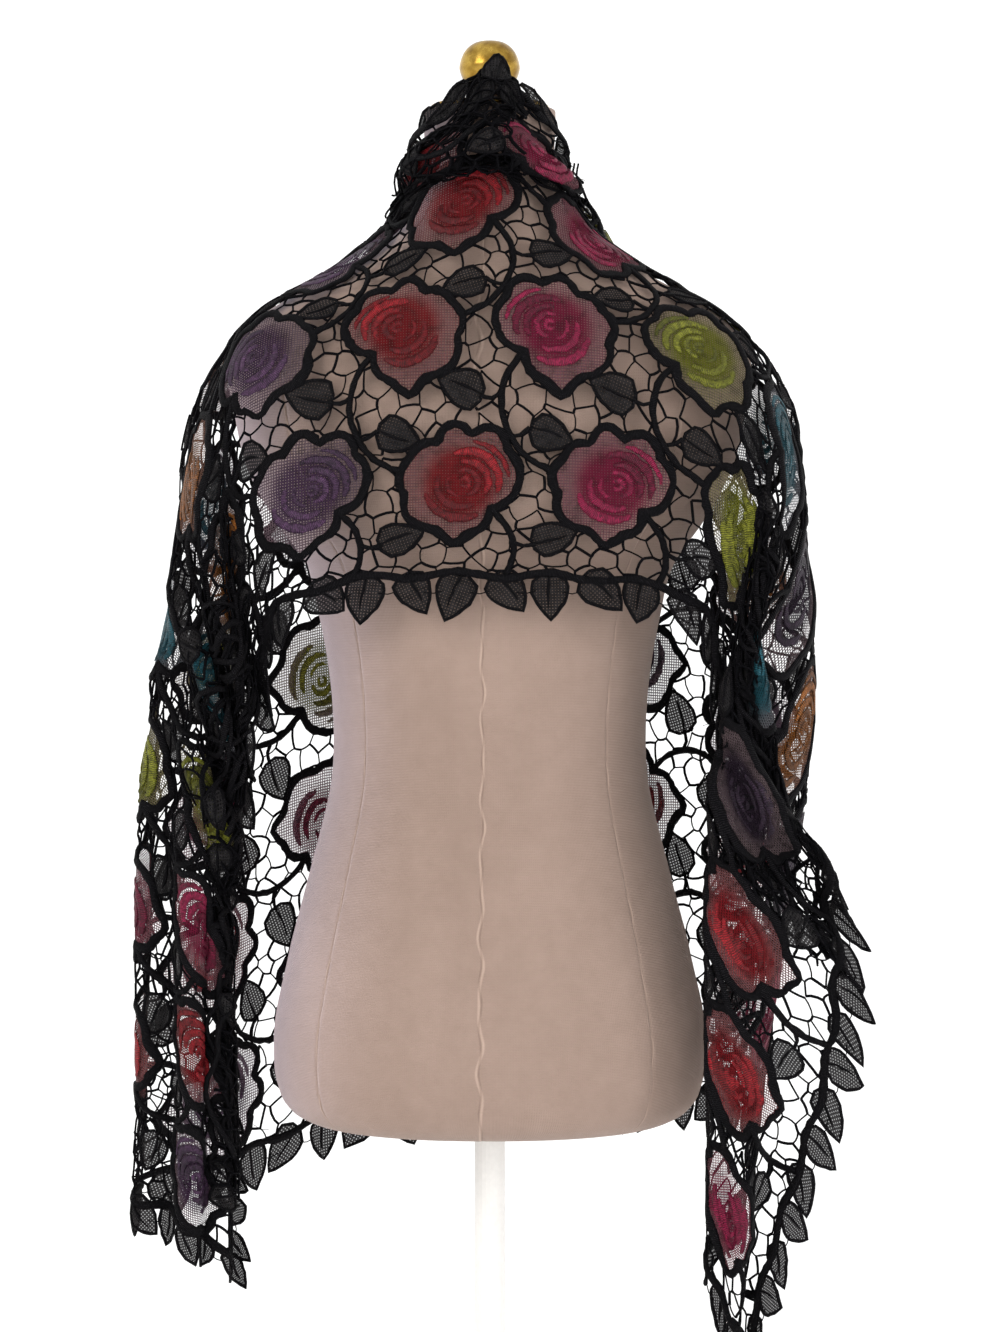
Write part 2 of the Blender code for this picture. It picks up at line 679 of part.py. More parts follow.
def dress_form(surface):
    """The form as one smooth closed body, lofted through its sections."""
    heights = [row[0] for row in FORM_SECTIONS]
    points = []
    for height, half_width, behind, ahead in FORM_SECTIONS:
        for k in range(FORM_SIDES):
            angle = 2 * math.pi * (k + 0.5) / FORM_SIDES
            c, s = math.cos(angle), math.sin(angle)
            power = FORM_SQUARENESS
            reach = (abs(c) ** power + abs(s) ** power) ** (-1 / power)
            points.append((half_width * c * reach, (behind if s < 0 else ahead) * s * reach, FORM_BOTTOM + height))
    faces = [list(range(FORM_SIDES))[::-1]]
    for ring in range(len(heights) - 1):
        low = ring * FORM_SIDES
        for k in range(FORM_SIDES):
            n = (k + 1) % FORM_SIDES
            faces.append((low + k, low + n, low + FORM_SIDES + n, low + FORM_SIDES + k))
    faces.append([len(points) - FORM_SIDES + k for k in range(FORM_SIDES)])
    return solid("form_body", points, faces, surface)


def main():
    for old in list(bpy.data.objects):
        bpy.data.objects.remove(old)
    thread = material("black_lace", (0.012, 0.012, 0.016), 0.75)
    jersey = material("form_jersey", (0.456, 0.332, 0.27), 0.85)
    brass = material("brass", (0.72, 0.5, 0.13), 0.3, 1.0)
    painted = material("stand_paint", (0.72, 0.71, 0.69), 0.45)

    bevel = BASE_EDGE
    turned_solid(
        "stand_base",
        ((BASE_RADIUS, 0), (BASE_RADIUS, BASE_HEIGHT - bevel), (BASE_RADIUS - bevel, BASE_HEIGHT)),
        48,
        painted,
    )
    turned_solid(
        "stand_pole",
        ((POLE_RADIUS, BASE_HEIGHT + GAP), (POLE_RADIUS, FORM_BOTTOM + FORM_SECTIONS[0][0] - GAP)),
        24,
        painted,
    )
    dress_form(jersey)
    cap_bottom = FORM_BOTTOM + NECK_TOP + GAP
    cap = ((CAP_RADIUS, 0), (CAP_RADIUS, CAP_HEIGHT - 1.5), (CAP_RADIUS - 1.5, CAP_HEIGHT))
    turned_solid("neck_cap", cap, 32, brass, cap_bottom)
    turned_solid("neck_knob", KNOB_PROFILE, 24, brass, cap_bottom + CAP_HEIGHT + GAP)

    drape = Drape()
    roses = rose_plan()
    gaps = cut_gaps(roses)
    for name, first, last in STRETCHES:
        points, faces = stretch_mesh(drape, roses, gaps, first, last)
        solid(name, points, faces, thread)


if __name__ == "__main__":
    main()
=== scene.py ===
"""Looks of a lace mantilla draped over a dress form.

The lace is planned flat, in millimetres: u runs along its length and v across it, up from the hem
that lies behind. Roses, leaves, stems, net and leafy trim are laid out there, and a drape then
carries every point onto the form. X runs to the right as seen from behind the form, and the form's
back faces -Y.
"""

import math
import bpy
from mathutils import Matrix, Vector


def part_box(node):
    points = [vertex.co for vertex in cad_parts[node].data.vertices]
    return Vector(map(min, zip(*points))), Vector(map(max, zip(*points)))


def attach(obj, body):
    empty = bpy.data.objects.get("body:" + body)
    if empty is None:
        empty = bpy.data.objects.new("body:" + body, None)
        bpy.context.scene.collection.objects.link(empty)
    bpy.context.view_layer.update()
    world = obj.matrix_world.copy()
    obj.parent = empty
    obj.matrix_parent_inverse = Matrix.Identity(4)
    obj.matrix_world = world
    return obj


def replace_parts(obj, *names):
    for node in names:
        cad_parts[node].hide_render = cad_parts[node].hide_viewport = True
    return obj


bl_info = {
    "name": "Lace mantilla on a dress form",
    "version": (1, 0, 0),
    "blender": (4, 5, 0),
    "location": "3D View > Sidebar > Mantilla",
    "description": "Corded rose lace draped on a dress form, with its stand and studio",
    "category": "Add Mesh",
}

import bpy
import numpy as np
from mathutils import Vector
from mathutils.geometry import delaunay_2d_cdt

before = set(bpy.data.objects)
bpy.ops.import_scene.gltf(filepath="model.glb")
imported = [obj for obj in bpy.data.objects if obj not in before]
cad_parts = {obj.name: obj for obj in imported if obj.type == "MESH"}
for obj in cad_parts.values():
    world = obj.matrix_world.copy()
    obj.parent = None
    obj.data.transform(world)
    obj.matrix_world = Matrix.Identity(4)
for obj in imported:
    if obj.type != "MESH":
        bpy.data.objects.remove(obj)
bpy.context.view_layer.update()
LACE_NODES = ("lace_back", "lace_left_fall", "lace_left_end", "lace_right_fall", "lace_right_end")
METRES = 0.001
FORM_BOTTOM = 300  # above the floor, in millimetres like every length below
NECK_TOP = 782  # above the form's underside

# Flat lace, between the stem lines of its trim
LACE_LEFT = -858
LACE_RIGHT = 845
LACE_WIDTH = 485
ROSE_PITCH = 113
ROSE_START = -22
ROSE_ROW_STEP = 111
ROSE_ROW_FIRST = 76
ROSE_ROWS = 4
ROSE_ROW_SHIFT = -42
ROSE_COLUMNS = range(-7, 8)
ROSE_COLOURS = ("purple", "red", "magenta", "green", "teal", "amber")  # repeated from the left end
ROSE_LOBES = (  # start angle, radius there, how far the lobe swells before the next start
    (-83, 50, -5),
    (-52, 44, 4),
    (-12, 41, 4),
    (28, 41, 3),
    (62, 34, 8),
    (104, 36, 8),
    (146, 43, 3),
    (182, 43, 2),
    (220, 29, 3),
    (258, 40, 0),
)
ROSE_SWIRLS = (  # centre along and across, radius, start and end angle, half width of the satin band
    (-4, 1, 3.6, 20, 330, 2.2),
    (-4, 1, 10, 62, 262, 2.6),
    (-2, 0, 11, 282, 392, 1.7),
    (-5, 1, 16.5, 76, 214, 3.0),
    (-1, -2, 17.5, 238, 384, 3.0),
    (-6, 2, 23.5, 64, 204, 3.5),
    (0, -4, 25, 236, 352, 3.6),
    (-7, 3, 29.5, 96, 176, 2.2),
)
ROSE_CHANGED = {  # by column and row; the near-black tint is painted shade on roses where the cloth bunches on the right
    (4, 0): "painted_shade",
    (4, 1): "painted_shade",
    (5, 0): "red",
    (5, 1): "amber",
    (6, 1): "painted_shade",
}
ROSE_LEAST_ROOM = 40  # from the left end to the centre of the first roses
STEM = ((-22, -17), (-36, -36), (-40, -56), (-34, -75), (-22, -91), (-2, -102))  # to the next row's rose
TWIGS = (((-38, -47), (-47, -51), (-56, -49)), ((-33, -77), (-26, -76), (-19, -71)))
LEAVES = (((-54, -49), (-87, -38)), ((-18, -71), (13, -81)))  # base and tip beside each stem
LEAF_SHAPE = (  # share of length, share of half width
    (0.0, 0.34),
    (0.05, 0.72),
    (0.16, 0.93),
    (0.36, 1.0),
    (0.6, 0.82),
    (0.82, 0.45),
    (1.0, 0.0),
)
LEAF_LENGTH = 34
LEAF_HALF_WIDTH = 13.2  # of a leaf of that length
LEAF_EDGE_ROOM = 8
LEAF_TINT = (0.03, 0.03, 0.03)
TRIM_PITCH = 34
TRIM_LEAF_LENGTH = 36
TRIM_LEANS = (-20, 36, 2, 46, -8, 28)  # degrees that trim leaves lean along the edge, repeated
TRIM_WAVE = 2.6
TRIM_DRIFT = (1.2, 41)  # depth and run of the slower wave of the edge cord
TRIM_CORD_STEP = 5
GATHERS = (  # left, right, low and high edge of each zone of the lace that is bunched up when draped
    (225, 520, -2, 118),
    (-480, -215, -2, 105),
    (-800, -480, -2, 36),
    (-112, -10, 350, 458),
    (-70, 96, 336, 354),
    (92, 128, 400, 470),
    (-26, 34, 448, 500),
    (-24, 22, 360, 448),
)
GATHER_PITCH = 15
GATHER_SEED = 5
GATHER_LIFTS = (3.0, 6.0)  # heights of the extra layers of net over the cloth
GATHER_CORD_AREA = 2600  # cloth for each extra cord
GATHER_LEAF_AREA = 2200
HEAP_LIFT = 2  # of the lowest extra leaves over the cloth; the next four lie 1 mm higher each
HEAP_LAYERS = 5
HEAP_LEAF_LENGTHS = (22, 32)
HAIRS = 28  # on the trim, and a quarter of that in each zone of bunched cloth
HAIR_HALF_WIDTH = 0.22
HAIR_LENGTHS = (5, 17)
PEAK_LEAVES = (  # base and tip of leaves folded over the point at the neck
    ((-2, 452), (4, 486)),
    ((12, 456), (8, 492)),
    ((-14, 448), (-8, 480)),
    ((20, 446), (18, 478)),
    ((2, 470), (2, 506)),
    ((-10, 470), (-4, 503)),
    ((12, 472), (8, 504)),
    ((-22, 440), (-18, 470)),
)
NET_PITCH = 17.5
NET_JITTER = 0.36  # of the pitch
NET_SEED = 11
NET_MARGIN = 30
NET_LENGTHS = (2.5, 60)  # shortest and longest thread
NET_BOW = 0.11  # of a thread's length
NET_POINTS = 17  # places along a thread that are tried against roses and leaves
NEAR_ROSE = 90  # no place farther off, along plus across, lies under a rose
NEAR_LEAF = 60
THREAD_SWELL = 0.12  # how much a thread's radius varies

# Dress form
FORM_SQUARENESS = 2.3  # exponent of the superellipse that each section follows
FORM_SECTIONS = (  # height, half width, depth behind the axis, depth in front of it
    (-4, 120, 72, 68),
    (-1, 134, 84, 80),
    (5, 149, 95, 91),
    (14, 159, 102, 97),
    (28, 165, 106, 100),
    (60, 168, 109, 101),
    (130, 156, 105, 97),
    (200, 138, 92, 90),
    (270, 122, 82, 87),
    (330, 122, 84, 98),
    (390, 131, 92, 118),
    (435, 143, 98, 124),
    (468, 166, 101, 116),
    (505, 186, 101, 102),
    (550, 197, 94, 84),
    (585, 202, 82, 66),
    (606, 196, 73, 56),
    (624, 178, 68, 50),
    (642, 149, 64, 46),
    (660, 116, 60, 44),
    (680, 82, 57, 46),
    (700, 61, 54, 47),
    (722, 52, 52, 46),
    (NECK_TOP, 50, 50, 45),
)
KNOB_PROFILE = (  # radius, height above the cap
    (15, 0),
    (16, 3),
    (10, 6),
    (8.5, 10),
    (13, 13.5),
    (19.5, 18),
    (23, 26),
    (23, 32),
    (19.5, 41),
    (12, 47.5),
    (0, 50),
)
CLEARANCE_ABOVE_NECK = (  # the same columns, for cloth that lies over the cap and knob
    (788, 47, 47, 43),
    (800, 27, 27, 26),
    (817, 24, 24, 24),
    (830, 19, 19, 19),
    (842, 4, 4, 4),
)

# Drape. Each row is a line that runs the length of the lace at v across it, from the hem behind
# to the edge at the neck and chest. Points are (x, y, z) with z above the form's underside.
BACK_LINES = (  # v, centre back, beside the neck, shoulder blade, shoulder
    (0, (0, -113, 425), (58, -111, 425), (112, -106, 421), (155, -100, 406)),
    (80, (0, -110, 497), (58, -108, 497), (115, -103, 493), (170, -97, 482)),
    (118, (0, -106, 537), (58, -103, 536), (113, -98, 532), (177, -89, 519)),
    (160, (0, -99, 583), (58, -96, 583), (115, -88, 578), (182, -80, 560)),
    (235, (0, -79, 655), (56, -74, 651), (108, -65, 636), (178, -42, 620)),
    (300, (0, -64, 710), (46, -52, 698), (88, -30, 671), (152, -6, 643)),
    (345, (0, -60, 742), (46, -44, 730), (76, -12, 695), (124, 18, 658)),
    (372, (0, -75, 730), (52, -52, 721), (74, -2, 702), (108, 28, 664)),
    (410, (0, -80, 754), (48, -52, 740), (67, 8, 713), (92, 44, 670)),
    (LACE_WIDTH, (4, -36, 806), (24, -30, 774), (50, 18, 742), (68, 62, 698)),
)
LEFT_LINES = (  # v, below the shoulder, elbow height, end hem
    (0, (170, -102, 352), (194, -88, 232), (196, -76, -92)),
    (80, (194, -106, 430), (206, -106, 305), (222, -98, -64)),
    (118, (204, -97, 464), (224, -97, 334), (243, -90, -54)),
    (160, (212, -86, 498), (240, -84, 362), (262, -78, -48)),
    (235, (216, -32, 564), (242, -24, 414), (272, -20, -44)),
    (300, (206, 14, 584), (216, 34, 424), (212, 34, -42)),
    (345, (186, 48, 594), (192, 68, 432), (180, 66, -34)),
    (372, (166, 68, 601), (170, 88, 440), (158, 86, -28)),
    (410, (134, 84, 608), (138, 108, 446), (128, 114, -22)),
    (LACE_WIDTH, (70, 92, 622), (70, 128, 458), (56, 130, -16)),
)
RIGHT_LINES = (
    (0, (172, -102, 352), (252, -112, 190), (195, -104, -150)),
    (80, (196, -106, 430), (190, -118, 318), (174, -112, -118)),
    (118, (208, -99, 470), (176, -112, 352), (162, -100, -84)),
    (160, (216, -86, 508), (218, -84, 385), (190, -80, -46)),
    (235, (220, -32, 570), (246, -26, 425), (206, -34, 10)),
    (300, (208, 12, 588), (206, 30, 430), (190, 26, 10)),
    (345, (184, 46, 597), (174, 62, 440), (168, 64, 8)),
    (372, (160, 66, 603), (150, 82, 446), (150, 86, 4)),
    (410, (126, 84, 610), (118, 108, 452), (122, 114, -4)),
    (LACE_WIDTH, (66, 94, 624), (52, 128, 462), (52, 130, -14)),
)
TURN_START = 3  # most slack of a line is gathered between its shoulder point and its elbow point
TURN_END = 5
TURN_SHARE = 0.4
CLOTH_CLEARANCE = 4.2
CLEARANCE_ROUNDS = 5
MOST_PUSH = 12  # outwards in one round
GRID_STEP = 8
GRID_MARGIN = 40
FALL_FROM_TO = (195, 315)  # places along the cloth, from the centre, between which it starts to hang
CHEST_FROM_TO = (320, 380)  # places across it between which it is gathered over the chest
NECK_FROM_TO = (30, 80)
TURN_FROM_TO = (200, 280)  # where the hem starts to turn down, and where it is straight again
TURN_TO_FROM = (580, 460)
HEMWARD_TO_FROM = (260, 60)
CASCADE_WAVE = 88  # cloth taken by each fold across the hem where it turns down
PLEAT_WAVE = 78  # cloth taken by each pleat that runs down a fall
MOST_SLACK_DEPTH = 12
MOST_PLEAT_DEPTH = 8
WORKED_OUT = {}  # what plan() keeps

# Colours and settings


def painted(*screen):
    """A colour's red, green and blue from 0 to 255 on the screen, turned into light."""
    return tuple(c / 255 / 12.92 if c <= 10 else ((c / 255 + 0.055) / 1.055) ** 2.4 for c in screen)


TINTS = {
    "purple": painted(86, 56, 88),
    "red": painted(158, 26, 36),
    "magenta": painted(154, 26, 72),
    "green": painted(140, 142, 42),
    "teal": painted(38, 98, 112),
    "amber": painted(158, 94, 34),
    # near-black tint that paints shade onto roses in the bunched cloth
    "painted_shade": painted(50, 34, 52),
}
THREAD_DARK = painted(3, 3, 5)
# lit thread colour: painted highlight on the black threads
THREAD_LIT = painted(24, 22, 25)
PETAL_PALE = painted(120, 105, 100)
PETAL_DARK = painted(62, 50, 56)
# pale lilac painted backlight, seen through the holes of sheer roses
PETAL_PAINTED_BACKLIGHT = painted(150, 136, 152)
LEAF_DARK = painted(10, 10, 11)
LEAF_LIT = painted(38, 36, 37)
JERSEY_DARK = painted(144, 123, 111)
JERSEY_LIT = painted(159, 137, 125)
SEAM_DARK = painted(92, 72, 60)
SEAM_LIT = painted(206, 180, 164)
BRASS_DARK = painted(132, 100, 38)
BRASS_LIT = painted(196, 162, 78)
STAND_DARK = painted(226, 224, 220)
STAND_LIT = painted(236, 234, 230)
FLOOR_DIM = painted(244, 244, 244)
FLOOR_LIT = painted(250, 250, 250)
LIGHTS = (  # name, place, size, watts, colour
    ("key", (-1.9, -2.3, 2.3), (1.6, 1.6), 40, (1.0, 0.98, 0.95)),
    ("fill", (2.4, -1.6, 1.0), (1.2, 1.8), 24, (0.98, 0.98, 1.0)),
    ("rim", (-1.6, 0.45, 0.7), (0.5, 1.0), 44, (0.66, 0.74, 1.0)),
)
PHOTO_HEIGHT = 1.039  # of the frame, at the form
COVER_PROUD = 0.9
FORM_SEAMS = ((268.5, 1.3), *((angle, 0.7) for angle in (222, 314, 0, 180, 50, 130)))  # angle, depth
SEAM_PUCKER = 52
SEAM_COLUMNS = (-2.4, -1.5, -0.9, -0.5, -0.25, 0, 0.25, 0.5, 0.9, 1.5, 2.4)  # degrees from a seam
UNDERSIDE_ROWS = (-4, 8, 1.5)  # from, to and step of the rows of faces round the form's lower edge
CAP_PROFILE = (  # radius, height above the neck
    (0.2, 0),
    (30, 0),
    (43, 0),
    (45.6, 0.8),
    (46, 2.5),
    (45.6, 4.2),
    (43, 5),
    (30, 5.4),
    (0.2, 5.6),
)
LEAST_RADIUS = 0.2  # of a turned ring, so that the pole's faces keep an area
RIM_HALF_HEIGHT = 1.7
RIM_LIFT = 0.3
BAND_HALF_HEIGHT = 0.5
BAND_LIFT = 0.8
ROSE_CUP = (  # share of the way out to the rim, lift over the cloth
    (0.002, 0.9),
    (0.25, 0.7),
    (0.45, 0.5),
    (0.64, 0.3),
    (0.82, 0.1),
    (1.0, 0.0),
)
MESH_PITCH = 0.0021  # in metres, as all that shaders measure
LEAF_MESH_PITCH = 0.0023
MESH_WAVER = 0.0012
CORD_WRAP = 0.0011  # pitches along a cord, a satin band and the form's knit
STITCH = 0.0013
KNIT_COURSE = 0.0012
KNIT_WALES = 620  # round the form
HEART_FROM_TO = (0.019, 0.034)  # distances from a rose's centre
BACKLIGHT_FROM_TO = (-0.03, 0.02)  # places from back to front between which sheer roses turn pale with painted backlight
LAMP_FOR_FORM = "rim"  # lights the form alone
FLOOR_RADII = (0.5, 2.0, 4.0, 6.0)
SWEEP_RADIUS = 3.0
WALL_HEIGHT = 4.5
SENSOR_HEIGHT = 24


# Plan of the flat lace


def directions(angle):
    """Unit vectors for angles in degrees."""
    return np.stack([np.cos(np.radians(angle)), np.sin(np.radians(angle))], axis=-1)


def unit(vectors):
    return vectors / np.maximum(np.linalg.norm(vectors, axis=-1, keepdims=True), 1e-9)


def left_of(way):
    """The flat direction or directions a quarter turn to the left."""
    return np.stack([-way[..., 1], way[..., 0]], axis=-1)


def smooth_line(points, step):
    """A rounded line through points, as points about a step apart."""
    points = np.asarray(points, float)
    points = np.concatenate([2 * points[:1] - points[1:2], points, 2 * points[-1:] - points[-2:-1]])
    line = []
    for a, b, c, d in zip(points, points[1:], points[2:], points[3:]):
        count = max(2, int(round(np.linalg.norm(c - b) / step)))
        t = (np.arange(count) / count)[:, None]
        bend = (2 * a - 5 * b + 4 * c - d) * t**2 + (3 * b - a - 3 * c + d) * t**3
        line.append(0.5 * (2 * b + (c - a) * t + bend))
    return np.concatenate([*line, points[-2:-1]])


def rose_reach(angle):
    """Distance from a rose's centre to its corded rim, for angles in degrees."""
    first = ROSE_LOBES[0]
    starts, radii, swell = np.array([*ROSE_LOBES, (first[0] + 360, *first[1:])], float).T
    angle = (np.asarray(angle, float) - starts[0]) % 360 + starts[0]
    k = np.clip(np.searchsorted(starts, angle, side="right") - 1, 0, len(ROSE_LOBES) - 1)
    t = (angle - starts[k]) / (starts[k + 1] - starts[k])
    return radii[k] * (1 - t) + radii[k + 1] * t + swell[k] * np.sin(np.pi * t)


def rose_plan():
    """Each rose as (u, v, side, colour); side is -1 in the mirrored rows."""
    roses = []
    for column in ROSE_COLUMNS:
        for row in range(ROSE_ROWS):
            shift = ROSE_ROW_SHIFT if row % 2 else 0
            u, v = ROSE_START + column * ROSE_PITCH + shift, ROSE_ROW_FIRST + row * ROSE_ROW_STEP
            colour = ROSE_COLOURS[(column - ROSE_COLUMNS[0]) % len(ROSE_COLOURS)]
            colour = ROSE_CHANGED.get((column, row), colour)
            if u - LACE_LEFT > ROSE_LEAST_ROOM:
                roses.append((u, v, 1 if row % 2 else -1, colour))
    return roses


def stem_plan(roses):
    """Each stem as (u, v, side) of the rose that it leaves, with those that come in over the top edge."""
    stems = [(u, v, side) for u, v, side, _ in roses]
    top = ROSE_ROW_FIRST + ROSE_ROWS * ROSE_ROW_STEP
    stems += [(u - ROSE_ROW_SHIFT, top, -side) for u, v, side, _ in roses if v > top - 1.5 * ROSE_ROW_STEP]
    return stems


def on_stem(stem, points):
    """Points beside a stem, placed on the flat lace."""
    u, v, side = stem
    return np.asarray(points, float) * (side, 1) + (u, v)


def inside_edge(points, spare=0.0):
    """Whether points lie inside the stem lines of the trim, by more than spare."""
    return (
        (points[:, 0] > LACE_LEFT + spare) & (points[:, 0] < LACE_RIGHT - spare)
        & (points[:, 1] > spare) & (points[:, 1] < LACE_WIDTH - spare)
    )


def leaf_plan(roses):
    """Leaves of the ground as (base, tip) pairs, leaving out those that would cross the trim."""
    leaves = []
    for stem in stem_plan(roses):
        for ends in LEAVES:
            ends = on_stem(stem, ends)
            if inside_edge(ends, LEAF_EDGE_ROOM).all():
                leaves.append(ends)
    return np.array(leaves)


def trim_sides():
    """The four sides of the edge as (start, direction, outward, length)."""
    corners = [(LACE_LEFT, 0), (LACE_RIGHT, 0), (LACE_RIGHT, LACE_WIDTH), (LACE_LEFT, LACE_WIDTH)]
    sides = []
    for start, end in zip(np.array(corners, float), np.array(corners[1:] + corners[:1], float)):
        length = np.linalg.norm(end - start)
        way = (end - start) / length
        sides.append((start, way, -left_of(way), length))
    return sides


def trim_leaf_plan():
    """Leaves of the trim as (base, tip), leaning in turn, with one on each corner."""
    leaves = []
    for start, way, outward, length in trim_sides():
        count = round(length / TRIM_PITCH)
        for k in range(count):
            lean = math.radians(TRIM_LEANS[k % len(TRIM_LEANS)])
            base = start + way * length * (k + 0.5) / count - outward * 1.5
            axis = outward * math.cos(lean) + way * math.sin(lean)
            size = TRIM_LEAF_LENGTH * (1 + 0.05 * math.sin(2.4 * k))
            base = base - way * math.sin(lean) * size * 0.3
            leaves.append((base, base + axis * size))
        corner = (outward - way) / math.sqrt(2)
        leaves.append((start, start + corner * TRIM_LEAF_LENGTH))
    return np.array(leaves)


def leaf_half_width(share, length):
    """Half width of a leaf at shares of its length, and less than nothing beyond its ends."""
    shares, widths = np.transpose(LEAF_SHAPE)
    return np.interp(share, shares, widths, left=-1, right=-1) * LEAF_HALF_WIDTH * length / LEAF_LENGTH


def leaf_outline(base, tip, count=9):
    """A leaf's edge as a closed ring of points that starts at its base."""
    length = np.linalg.norm(tip - base)
    way = (tip - base) / length
    share = np.linspace(0, 1, count) ** 0.9
    middle = base + way * share[:, None] * length
    aside = left_of(way) * leaf_half_width(share, length)[:, None]
    return np.concatenate([middle + aside, (middle - aside)[-2::-1]])


def covered(points, roses, leaves):
    """Whether each point of the net lies under a rose or a leaf."""
    hit = np.zeros(len(points), bool)
    for u, v, side, _ in roses:
        near = np.flatnonzero(np.abs(points - (u, v)).sum(axis=1) < NEAR_ROSE)
        away = (points[near] - (u, v)) * (side, 1)
        reach = rose_reach(np.degrees(np.arctan2(away[:, 1], away[:, 0])))
        hit[near[np.hypot(away[:, 0], away[:, 1]) < reach]] = True
    for base, tip in leaves:
        near = np.flatnonzero(np.abs(points - base).sum(axis=1) < NEAR_LEAF)
        way = tip - base
        length = np.linalg.norm(way)
        away = points[near] - base
        beside = np.abs(away @ left_of(way)) / length
        hit[near[beside < leaf_half_width(away @ way / length**2, length)]] = True
    return hit


def net_threads(roses, leaves, pitch=NET_PITCH, seed=NET_SEED):
    """Threads of the net: borders of the cells round jittered sites, cut off at roses and leaves."""
    rng = np.random.default_rng(seed)
    rise = pitch * 0.866
    rows = int((LACE_WIDTH + 2 * NET_MARGIN) / rise)
    columns = int((LACE_RIGHT - LACE_LEFT + 2 * NET_MARGIN) / pitch)
    i, j = np.meshgrid(np.arange(columns), np.arange(rows), indexing="ij")
    sites = np.stack([LACE_LEFT - NET_MARGIN + pitch * (i + 0.5 * (j % 2)), rise * j - NET_MARGIN], axis=-1)
    sites = sites.reshape(-1, 2) + rng.uniform(-NET_JITTER, NET_JITTER, (rows * columns, 2)) * pitch
    faces = np.array(delaunay_2d_cdt([Vector(site) for site in sites], [], [], 0, 1e-6)[2])
    a, b, c = (sites[faces[:, k]] for k in range(3))
    ab, ac = b - a, c - a
    twice = 2 * (ab[:, 0] * ac[:, 1] - ab[:, 1] * ac[:, 0])
    ab2, ac2 = (ab**2).sum(axis=1), (ac**2).sum(axis=1)
    reach = np.stack([ac[:, 1] * ab2 - ab[:, 1] * ac2, ab[:, 0] * ac2 - ac[:, 0] * ab2], axis=1)
    knots = a + reach / twice[:, None]
    face_of = {}
    pairs = []
    for k, face in enumerate(faces.tolist()):
        for m in range(3):
            side = (face[m], face[(m + 1) % 3])
            other = face_of.pop(side[::-1], None)
            if other is None:
                face_of[side] = k
            else:
                pairs.append((k, other))
    pairs = np.array(pairs)
    start, end = knots[pairs[:, 0]], knots[pairs[:, 1]]
    length = np.linalg.norm(end - start, axis=1)
    keep = (length > NET_LENGTHS[0]) & (length < NET_LENGTHS[1])
    start, end = start[keep], end[keep]
    bow = left_of(end - start) * rng.uniform(-NET_BOW, NET_BOW, (len(start), 1))
    share = np.linspace(0, 1, NET_POINTS)
    line = start[:, None] + (end - start)[:, None] * share[:, None]
    line += bow[:, None] * (4 * share * (1 - share))[:, None]
    flat = line.reshape(-1, 2)
    free = (inside_edge(flat) & ~covered(flat, roses, leaves)).reshape(len(start), -1)
    threads = []
    for points, open_ in zip(line, free):
        where = np.flatnonzero(open_)
        run = max(np.split(where, np.flatnonzero(np.diff(where) > 1) + 1), key=len)
        if len(run) >= 3:
            first, last = max(run[0] - 1, 0), min(run[-1] + 1, len(points) - 1)
            pick = np.linspace(first, last, 3 if last - first < 12 else 4).round().astype(int)
            threads.append(points[pick])
    return threads


# Drape


def table_at(table, height):
    """The columns of a table after its first, read at heights in its first column."""
    rows = np.array(table, float)
    return [np.interp(height, rows[:, 0], rows[:, k]) for k in range(1, rows.shape[1])]


def form_excess(points):
    """How far points lie outside the form, cap and knob, as a share of the section there."""
    half_width, behind, ahead = table_at(FORM_SECTIONS + CLEARANCE_ABOVE_NECK, points[..., 2])
    depth = np.where(points[..., 1] < 0, behind, ahead)
    power = FORM_SQUARENESS
    reach = np.abs(points[..., 0] / half_width) ** power + np.abs(points[..., 1] / depth) ** power
    return reach ** (1 / power) - 1


def clear_of_form(points):
    """Points moved out along the form's surface normal until they are clear of it."""
    points = points.copy()
    for _ in range(CLEARANCE_ROUNDS):
        excess = form_excess(points)
        slope = [(form_excess(points + axis) - form_excess(points - axis)) / 2 for axis in np.eye(3)]
        slope = np.stack(slope, axis=-1)
        steep = np.maximum(np.linalg.norm(slope, axis=-1), 1e-6)
        short = np.clip(CLOTH_CLEARANCE - excess / steep, 0, MOST_PUSH)
        points += slope / steep[..., None] * short[..., None]
    return points


def hermite(at, knots, values, own=False):
    """A smooth curve through values at knots, read at one place or many.

    With own, each place has its own row of values, in an array shaped like the places.
    """
    knots, values = np.asarray(knots, float), np.asarray(values, float)
    steps = np.diff(knots)
    width = steps.reshape((-1,) + (1,) * (values.ndim - 1))
    rise = np.diff(values, axis=0) / width
    inner = (rise[:-1] * width[1:] + rise[1:] * width[:-1]) / (width[:-1] + width[1:])
    slopes = np.concatenate([rise[:1], inner, rise[-1:]])
    i = np.clip(np.searchsorted(knots, at, side="right") - 1, 0, len(steps) - 1)
    t = ((at - knots[i]) / steps[i])[..., None]
    h = steps[i][..., None]
    ease = t * t * (3 - 2 * t)
    there = np.indices(at.shape) if own else ()
    before, after = (i, *there), (i + 1, *there)
    return (
        values[before] * (1 - ease)
        + values[after] * ease
        + h * slopes[before] * t * (1 - t) ** 2
        - h * slopes[after] * t * t * (1 - t)
    )


def line_through(row, fall_row, side, length):
    """The knots along the cloth and the points of one line, from the centre back to the end hem."""
    points = np.array(row[1:] + fall_row[1:], float)
    points[1:, 0] *= side
    steps = np.linalg.norm(np.diff(points, axis=0), axis=1)
    slack = length - steps.sum()
    turn = slice(TURN_START, TURN_END)
    steps[turn] *= 1 + TURN_SHARE * slack / steps[turn].sum()
    steps[TURN_END:] += (1 - TURN_SHARE) * slack
    return np.concatenate([[0], np.cumsum(steps)]), points


